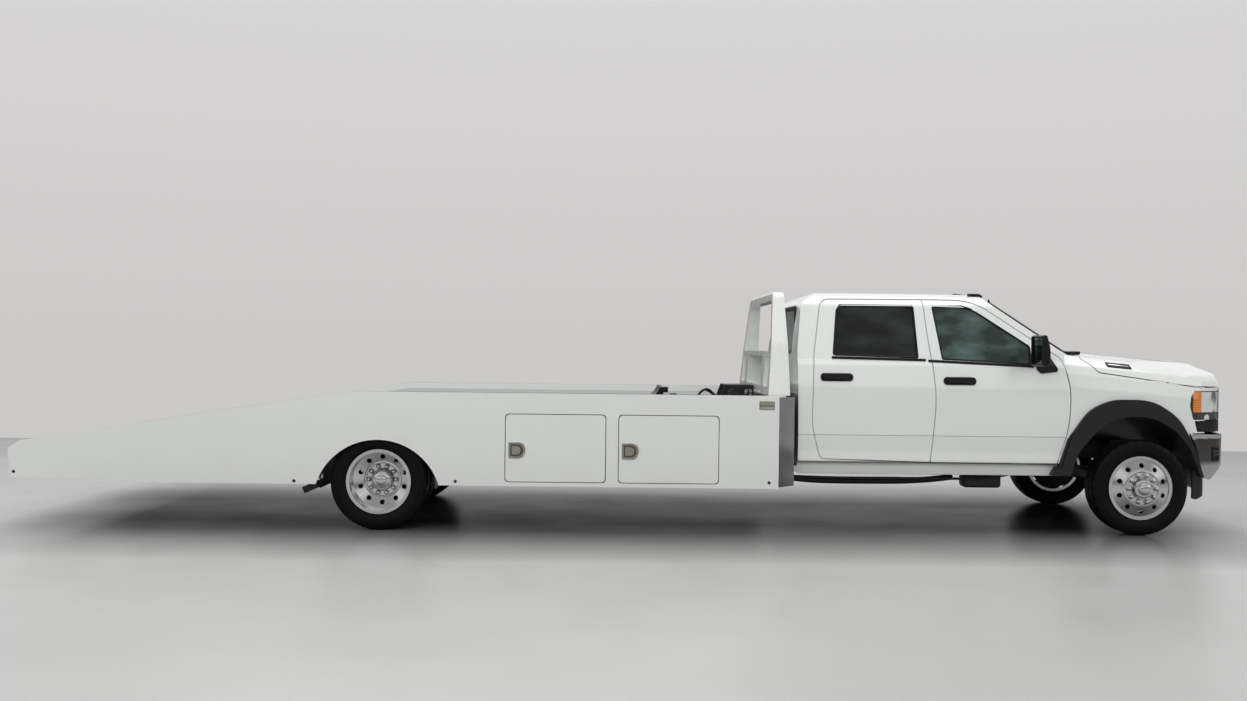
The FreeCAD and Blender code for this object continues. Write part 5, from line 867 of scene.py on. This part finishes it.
def add_seals():
    for pair, node in (("front", "glass_f"), ("rear", "glass_r")):
        for side, facing in (("r", (0, -1, 0)), ("l", (0, 1, 0))):
            seal = rim_of_pane(node + side, pair + "_window_seal_" + side, facing, 0.0115, 0.012, 0.0165)
            finish_piece(seal, seal.name, pair + "_door_" + side, SEAL, 60)
    frit = rim_of_pane("cab_glass", "windscreen_border", SCREEN_FACING, 0.004, 0.045, 0.0012)
    finish_piece(frit, "windscreen_border", "root", SEAL, 60)
    gasket = pane_face("cab_glass", "windscreen_gasket", SCREEN_FACING)
    bpy.ops.mesh.region_to_loop()
    bpy.ops.mesh.select_all(action="INVERT")
    bpy.ops.mesh.delete(type="EDGE")
    leave_edit()
    gasket.data.transform(Matrix.Translation(Vector(SCREEN_FACING) * 0.005))
    bpy.ops.object.convert(target="CURVE")
    gasket = bpy.context.object
    gasket.data.bevel_depth = 0.014
    gasket.data.bevel_resolution = 3
    bpy.ops.object.convert(target="MESH")
    finish_piece(bpy.context.object, "windscreen_gasket", "root", SEAL, 60)
    edge = rim_of_pane("cab_glass", "back_window_seal", (-1, 0, 0), 0.010, 0.014, 0.006)
    finish_piece(edge, "back_window_seal", "root", SEAL, 60)


# Outside fittings

def framed_panel(centre, size, bevel, rim, depth, turn, facing):
    """A rounded block whose face has a sunk panel inside a rim."""
    obj = block((0, 0, 0), size, bevel, 3)
    select_faces(obj, lambda face: face.normal.dot(Vector(facing)) > 0.99 and face.area > size[0] * 0.01)
    bpy.ops.mesh.inset(thickness=rim)
    bpy.ops.mesh.inset(thickness=0.002, depth=-depth)
    leave_edit()
    obj.rotation_euler = turn
    obj.location = centre
    bpy.ops.object.transform_apply(location=True, rotation=True, scale=False)
    return obj


SHOULDER_TILT = math.radians(28.6)


def add_hood_vents():
    spot = on_axle(-0.135, -0.903, 1.393)
    tilt = (SHOULDER_TILT, math.radians(5.1), 0)
    surround = framed_panel(spot, (0.205, 0.078, 0.014), 0.006, 0.010, 0.006, tilt, (0, 0, 1))
    both_sides(surround, "hood_vent", "hood_body", BLACK_TRIM)
    strip = block(spot + Vector((0, -0.001, 0.003)), (0.170, 0.020, 0.012), 0.005, 3, tilt)
    both_sides(strip, "hood_vent_bar", "hood_body", CHROME)


MIRROR_INNER = 1.130
MIRROR_PANE = (0.005, 0.218)
SPOTTER_H = 0.062
MIRROR_EDGE = 0.012


def add_mirror_glass():
    """A large lower pane and a small wide angle pane above it."""
    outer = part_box("mirror_fr")[0].y
    face = AXLE_X - 0.3340 * SPAN
    top = 0.817 * ROOF - MIRROR_EDGE
    foot = 0.700 * ROOF + MIRROR_EDGE
    split = top - SPOTTER_H
    for name, low, high, material in (("mirror_spotter", split, top, CHROME),
                                      ("mirror_glass", foot, split, MIRROR_GLASS)):
        centre = (face - 0.002, (outer - MIRROR_INNER) / 2, (high + low) / 2)
        pane = block(centre, (*MIRROR_PANE, high - low - 0.004), 0.002, 2)
        both_sides(pane, name, "front_door_{}", material)


def add_cowl():
    """Black scuttle under the windscreen's foot, bowed with it, and two wipers on the glass."""
    cowl = block((0, 0, 0), (1.50, 0.075, 0.030), 0.006, 2)
    select_faces(cowl, lambda polygon: True)
    bpy.ops.mesh.subdivide(number_cuts=5)
    leave_edit()
    cowl.location = on_axle(-0.500, 0, 1.497)
    apply_modifier(cowl, "SIMPLE_DEFORM", deform_method="BEND", deform_axis="Z", angle=math.radians(24))
    cowl.rotation_euler = (0, 0, -math.pi / 2)
    finish_piece(cowl, "windscreen_scuttle", "root", BLACK_TRIM)
    tilt = (0, math.radians(6), math.radians(-8))
    corner = block(on_axle(-0.520, -0.735, 1.489), (0.150, 0.10, 0.046), 0.010, 3, tilt)
    both_sides(corner, "scuttle_corner", "root", BLACK_TRIM)
    tilt = (0, math.radians(32), math.radians(-9))
    for i, y in enumerate((-0.48, 0.22)):
        arm = block(on_axle(-0.600 - 0.02 * i, y, 1.545), (0.030, 0.46, 0.012), 0.004, 2, tilt)
        finish_piece(arm, "wiper_{}".format(i + 1), "root", BLACK_TRIM)


FOG_LENS = ((0.004, 0.028), (-0.004, 0.028), (-0.007, 0.022), (-0.008, 0.010))
KEY_STEPS = ((-0.004, 0.0115), (0.002, 0.0115), (0.0035, 0.009), (0.0035, 0.004))
PLUG_STEPS = ((0.002, 0.0125), (-0.003, 0.0125), (-0.0045, 0.010), (-0.0045, 0.004))
SKIRT_PLUGS = ((-9.148, 0.449), (-6.902, 0.398), (-5.607, 0.408), (-3.082, 0.423))


def add_bumper_details():
    turn = (0, 0, math.radians(25.0))
    spot = on_axle(0.662, -0.9455, 0.672)
    recess = framed_panel(spot, (0.085, 0.016, 0.125), 0.006, 0.008, 0.006, turn, (0, -1, 0))
    both_sides(recess, "fog_lamp_recess", "root", BLACK_TRIM)
    lens = turned(on_axle(0.662, -0.947, 0.680), FOG_LENS, 24)
    both_sides(lens, "fog_lamp_lens", "root", MIRROR_GLASS)


def add_key_cylinders():
    for side, sign in (("r", -1), ("l", 1)):
        spot = on_axle(-0.5305 * SPAN - 0.093, sign * 1.013, 0.6345 * ROOF)
        dot = turned(spot, [(sign * y, radius) for y, radius in KEY_STEPS], 24)
        finish_piece(dot, "key_cylinder_" + side, "front_door_" + side, STAINLESS)


def add_skirt_details():
    plugs = [turned(on_axle(x, -BED_SIDE, z), PLUG_STEPS, 20) for x, z in SKIRT_PLUGS]
    both_sides(joined(plugs), "skirt_plugs", "root", BLACK_TRIM)
    spot = on_axle(-3.105, -BED_SIDE - 0.001, 1.045)
    plate = framed_panel(spot, (0.125, 0.005, 0.070), 0.002, 0.006, 0.001, (0, 0, 0), (0, -1, 0))
    both_sides(plate, "blank_plate", "root", LATCH)
    tilt = (0, math.radians(-24), 0)
    bracket = block(on_axle(-6.775, -1.12, 0.345), (0.13, 0.16, 0.055), 0.006, 2, tilt)
    both_sides(bracket, "mud_flap_bracket", "root", BLACK_TRIM)
    tilt = (0, math.radians(-10), 0)
    marker = block(on_axle(-6.705, -1.165, 0.455), (0.030, 0.05, 0.085), 0.008, 2, tilt)
    both_sides(marker, "side_marker", "root", WHITE_LENS)


LOCK_STEPS = ((0.001, 0.012), (-0.003, 0.011), (-0.004, 0.006))
LATCH_SPOTS = ((-4.1880, "tool_door_{}1"), (-5.1000, "tool_door_{}2"))


def d_outline(radius):
    """Points of a D, square behind and round in front, in a plane seen from the side."""
    points = [(-radius, radius), (-radius, -radius)]
    for step in range(25):
        turn = math.radians(-90 + 180 * step / 24)
        points.append((radius * 0.25 + radius * 0.85 * math.cos(turn), radius * math.sin(turn)))
    return points


def d_shape(centre, radius, thick, edge, fill):
    """A D plate, or a ring in that shape, standing on a right side face."""
    curve = bpy.data.curves.new("d_shape", "CURVE")
    curve.dimensions = "2D" if fill else "3D"
    curve.fill_mode = "BOTH" if fill else "FULL"
    curve.extrude = thick / 2 if fill else 0
    curve.bevel_depth = edge
    curve.bevel_resolution = 3
    spline = curve.splines.new("POLY")
    points = d_outline(radius)
    spline.points.add(len(points) - 1)
    for point, (x, y) in zip(spline.points, points):
        point.co = (x, y, 0, 1)
    spline.use_cyclic_u = True
    obj = bpy.data.objects.new("d_shape", curve)
    bpy.context.scene.collection.objects.link(obj)
    obj.rotation_euler = (math.pi / 2, 0, 0)
    obj.location = centre
    alone(obj)
    bpy.ops.object.convert(target="MESH")
    bpy.ops.object.transform_apply(location=True, rotation=True, scale=True)
    return bpy.context.object


def add_latches():
    for i, (x, body) in enumerate(LATCH_SPOTS):
        spot = on_axle(x - 0.018, -BED_SIDE - 0.0045, 0.664)
        plate = d_shape(spot, 0.060, 0.004, 0.0008, True)
        rim = d_shape(spot + Vector((0, -0.002, 0)), 0.060, 0, 0.0045, False)
        both_sides(joined([plate, rim]), "tool_latch_{}".format(i + 1), body, LATCH)
        well = d_shape(spot + Vector((0, -0.0015, 0)), 0.048, 0.004, 0.0006, True)
        both_sides(well, "tool_latch_well_{}".format(i + 1), body, BRONZE)
        paddle = d_shape(spot + Vector((-0.003, -0.004, 0)), 0.033, 0.005, 0.0015, True)
        lock = turned(spot + Vector((0.016, -0.006, -0.002)), LOCK_STEPS, 20)
        both_sides(joined([paddle, lock]), "tool_paddle_{}".format(i + 1), body, LATCH)


def tube(name, points, radius, body, material):
    """A held hose: a smooth curve with a round section, made a mesh."""
    curve = bpy.data.curves.new(name, "CURVE")
    curve.dimensions = "3D"
    curve.bevel_depth = radius
    curve.bevel_resolution = 4
    curve.use_fill_caps = True
    spline = curve.splines.new("NURBS")
    spline.points.add(len(points) - 1)
    for point, place in zip(spline.points, points):
        point.co = (place[0], place[1], place[2], 1)
    spline.order_u = 3
    spline.use_endpoint_u = True
    obj = bpy.data.objects.new(name, curve)
    bpy.context.scene.collection.objects.link(obj)
    alone(obj)
    bpy.ops.object.convert(target="MESH")
    return finish_piece(bpy.context.object, name, body, material, 60)


ROPE_HALF = 0.150
ROPE_PITCH = 0.0115
ROPE_TURNS = 26
WINCH_DECK = BED_TOP - 0.097
WINCH_HOSE = ((-3.38, 0.045), (-3.44, 0.05), (-3.50, 0.10), (-3.55, 0.115), (-3.60, 0.06), (-3.62, 0.002))
HOSE_STEP = 0.035
SHIELD_STEPS = ((-0.003, 0.223), (0.002, 0.223), (0.006, 0.210), (0.006, 0.120), (0.014, 0.100))
SHIELDS = (("front", "steer_knuckle_{}", AXLE_X, FRONT_Y + 0.088), ("rear", "root", REAR_X, REAR_YS[1] + 0.075))
SILL_RUNS = (
    ("sill_pipe_", 0.026,
     ((-2.93, 0.74, 0.43), (-2.75, 0.74, 0.395), (-2.20, 0.72, 0.390), (-1.70, 0.70, 0.395), (-1.45, 0.68, 0.43))),
    ("sill_line_", 0.011,
     ((-2.90, 0.82, 0.44), (-2.60, 0.82, 0.425), (-1.90, 0.82, 0.43), (-1.20, 0.80, 0.425), (-1.00, 0.76, 0.46))))


def add_winch_details():
    """Rope wound on the drum, two held hoses and a lug on each side of the deck."""
    low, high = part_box("winch_drum")
    centre = Vector(((low.x + high.x) / 2, 0, (low.z + high.z) / 2))
    steps = [(-ROPE_HALF, 0.044)]
    for i in range(ROPE_TURNS):
        y = -ROPE_HALF + i * ROPE_PITCH
        steps += [(y + 0.002, 0.050), (y + 0.0058, 0.0535), (y + 0.0095, 0.050)]
    steps.append((ROPE_HALF, 0.044))
    finish_piece(turned(centre, steps, 40), "winch_rope", "drum", STAINLESS, 60)
    for i in range(2):
        lifts = [HOSE_STEP * i / 2 if j == 2 else 0 for j in range(len(WINCH_HOSE))]
        points = [on_axle(x, -0.29 - HOSE_STEP * i, WINCH_DECK + z + lift)
                  for (x, z), lift in zip(WINCH_HOSE, lifts)]
        tube("winch_hose_{}".format(i + 1), points, 0.0095, "root", BLACK_TRIM)
    lug = block(on_axle(-3.843, -0.80, BED_TOP - 0.030), (0.062, 0.05, 0.055), 0.008, 3)
    both_sides(lug, "deck_lug", "root", BLACK_TRIM)


def add_shields():
    """Black discs that close the brakes' inner sides. They don't turn with the wheels."""
    for pair, body, x, y in SHIELDS:
        shield = turned((x, y, TYRE_R), SHIELD_STEPS, 48)
        both_sides(shield, "brake_shield_" + pair, body, CHASSIS)


def add_underbody():
    """Pipes and a canister that show below the sills."""
    for side, sign in (("r", -1), ("l", 1)):
        for name, radius, run in SILL_RUNS:
            points = [on_axle(x, sign * y, z) for x, y, z in run]
            tube(name + side, points, radius, "root", CHASSIS)
    canister = block(on_axle(-1.217, -0.70, 0.405), (0.32, 0.16, 0.115), 0.03, 4)
    finish_piece(canister, "sill_canister", "root", CHASSIS)


# Seats: padded pieces from cloth blown up round a soft core

SEAT_ROWS = (("front_r", -1.080, -0.660, -0.140, (-0.40,)), ("front_l", -1.080, 0.140, 0.660, (0.40,)),
             ("bench", -1.980, -0.640, 0.640, (-0.40, 0.40)))
CUSHION_LENGTH = 0.520
CUSHION_LOW = 0.13
CUSHION_TOP = 0.33
BACK_THICK = 0.150
BACK_LOW = 0.27
BACK_TOP = 0.93
BACK_LEAN = 0.105
HEADREST = (0.090, 0.26, 0.10)
CLOTH_CELL = 0.014
PUFF_FRAMES = 12
SEAT_GIVE = 0.012
HEADREST_GIVE = 0.008


def padded(name, low, high, give, lean=0.0):
    """A soft block of cloth that is blown up by as much as it may give."""
    size = [b - a for a, b in zip(low, high)]
    centre = [(a + b) / 2 for a, b in zip(low, high)]
    obj = block(centre, [s - give * 2 for s in size], min(size) * 0.28, 4, (0, -lean, 0))
    apply_modifier(obj, "REMESH", mode="VOXEL", voxel_size=CLOTH_CELL)
    blow_up(obj, give)
    apply_modifier(obj, "SUBSURF", levels=1, render_levels=1)
    finish_piece(obj, name, "root", CLOTH, 70)
    return obj


def blow_up(obj, cap):
    start = [vertex.co.copy() for vertex in obj.data.vertices]
    alone(obj)
    puff = obj.modifiers.new("puff", "CLOTH")
    puff.settings.use_pressure = True
    puff.settings.uniform_pressure_force = 4.0
    puff.settings.effector_weights.gravity = 0.0
    puff.settings.quality = 3
    puff.point_cache.frame_end = 20
    scene = bpy.context.scene
    for step in range(PUFF_FRAMES):
        scene.frame_set(step + 1)
    bpy.ops.object.modifier_apply(modifier=puff.name)
    for vertex, was in zip(obj.data.vertices, start):
        move = vertex.co - was
        if move.length > cap:
            vertex.co = was + move * (cap / move.length)
    scene.frame_set(1)


def add_seats():
    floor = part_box("seats")[0].z
    for label, front, y0, y1, rests in SEAT_ROWS:
        x = AXLE_X + front
        fold = x - CUSHION_LENGTH
        padded(label + "_cushion", (fold - 0.02, y0, floor + CUSHION_LOW), (x, y1, floor + CUSHION_TOP),
               SEAT_GIVE)
        back = padded(label + "_back", (fold - BACK_THICK, y0, floor + BACK_LOW), (fold, y1, floor + BACK_TOP),
                      SEAT_GIVE, BACK_LEAN)
        base = block(((x + fold) / 2 - 0.01, (y0 + y1) / 2, floor + 0.07), (0.44, y1 - y0 - 0.06, 0.14), 0.02, 3)
        finish_piece(base, label + "_seat_base", "root", DASH)
        for y in rests:
            side = "" if len(rests) == 1 else ("_r" if y < 0 else "_l")
            head = (fold - 0.1425, y, floor + BACK_TOP + HEADREST[2] / 2)
            low = [centre - size / 2 for centre, size in zip(head, HEADREST)]
            high = [centre + size / 2 for centre, size in zip(head, HEADREST)]
            padded(label + "_headrest" + side, low, high, HEADREST_GIVE)
        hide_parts("seats")


add_camera()
add_studio()
dress_nodes()
add_tyres()
add_wheel_covers()
add_seals()
add_belts()
add_hood_vents()
add_mirror_glass()
add_cowl()
add_bumper_details()
add_key_cylinders()
add_skirt_details()
add_latches()
add_winch_details()
add_underbody()
add_shields()
add_seats()

bpy.context.scene.view_settings.view_transform = "Standard"
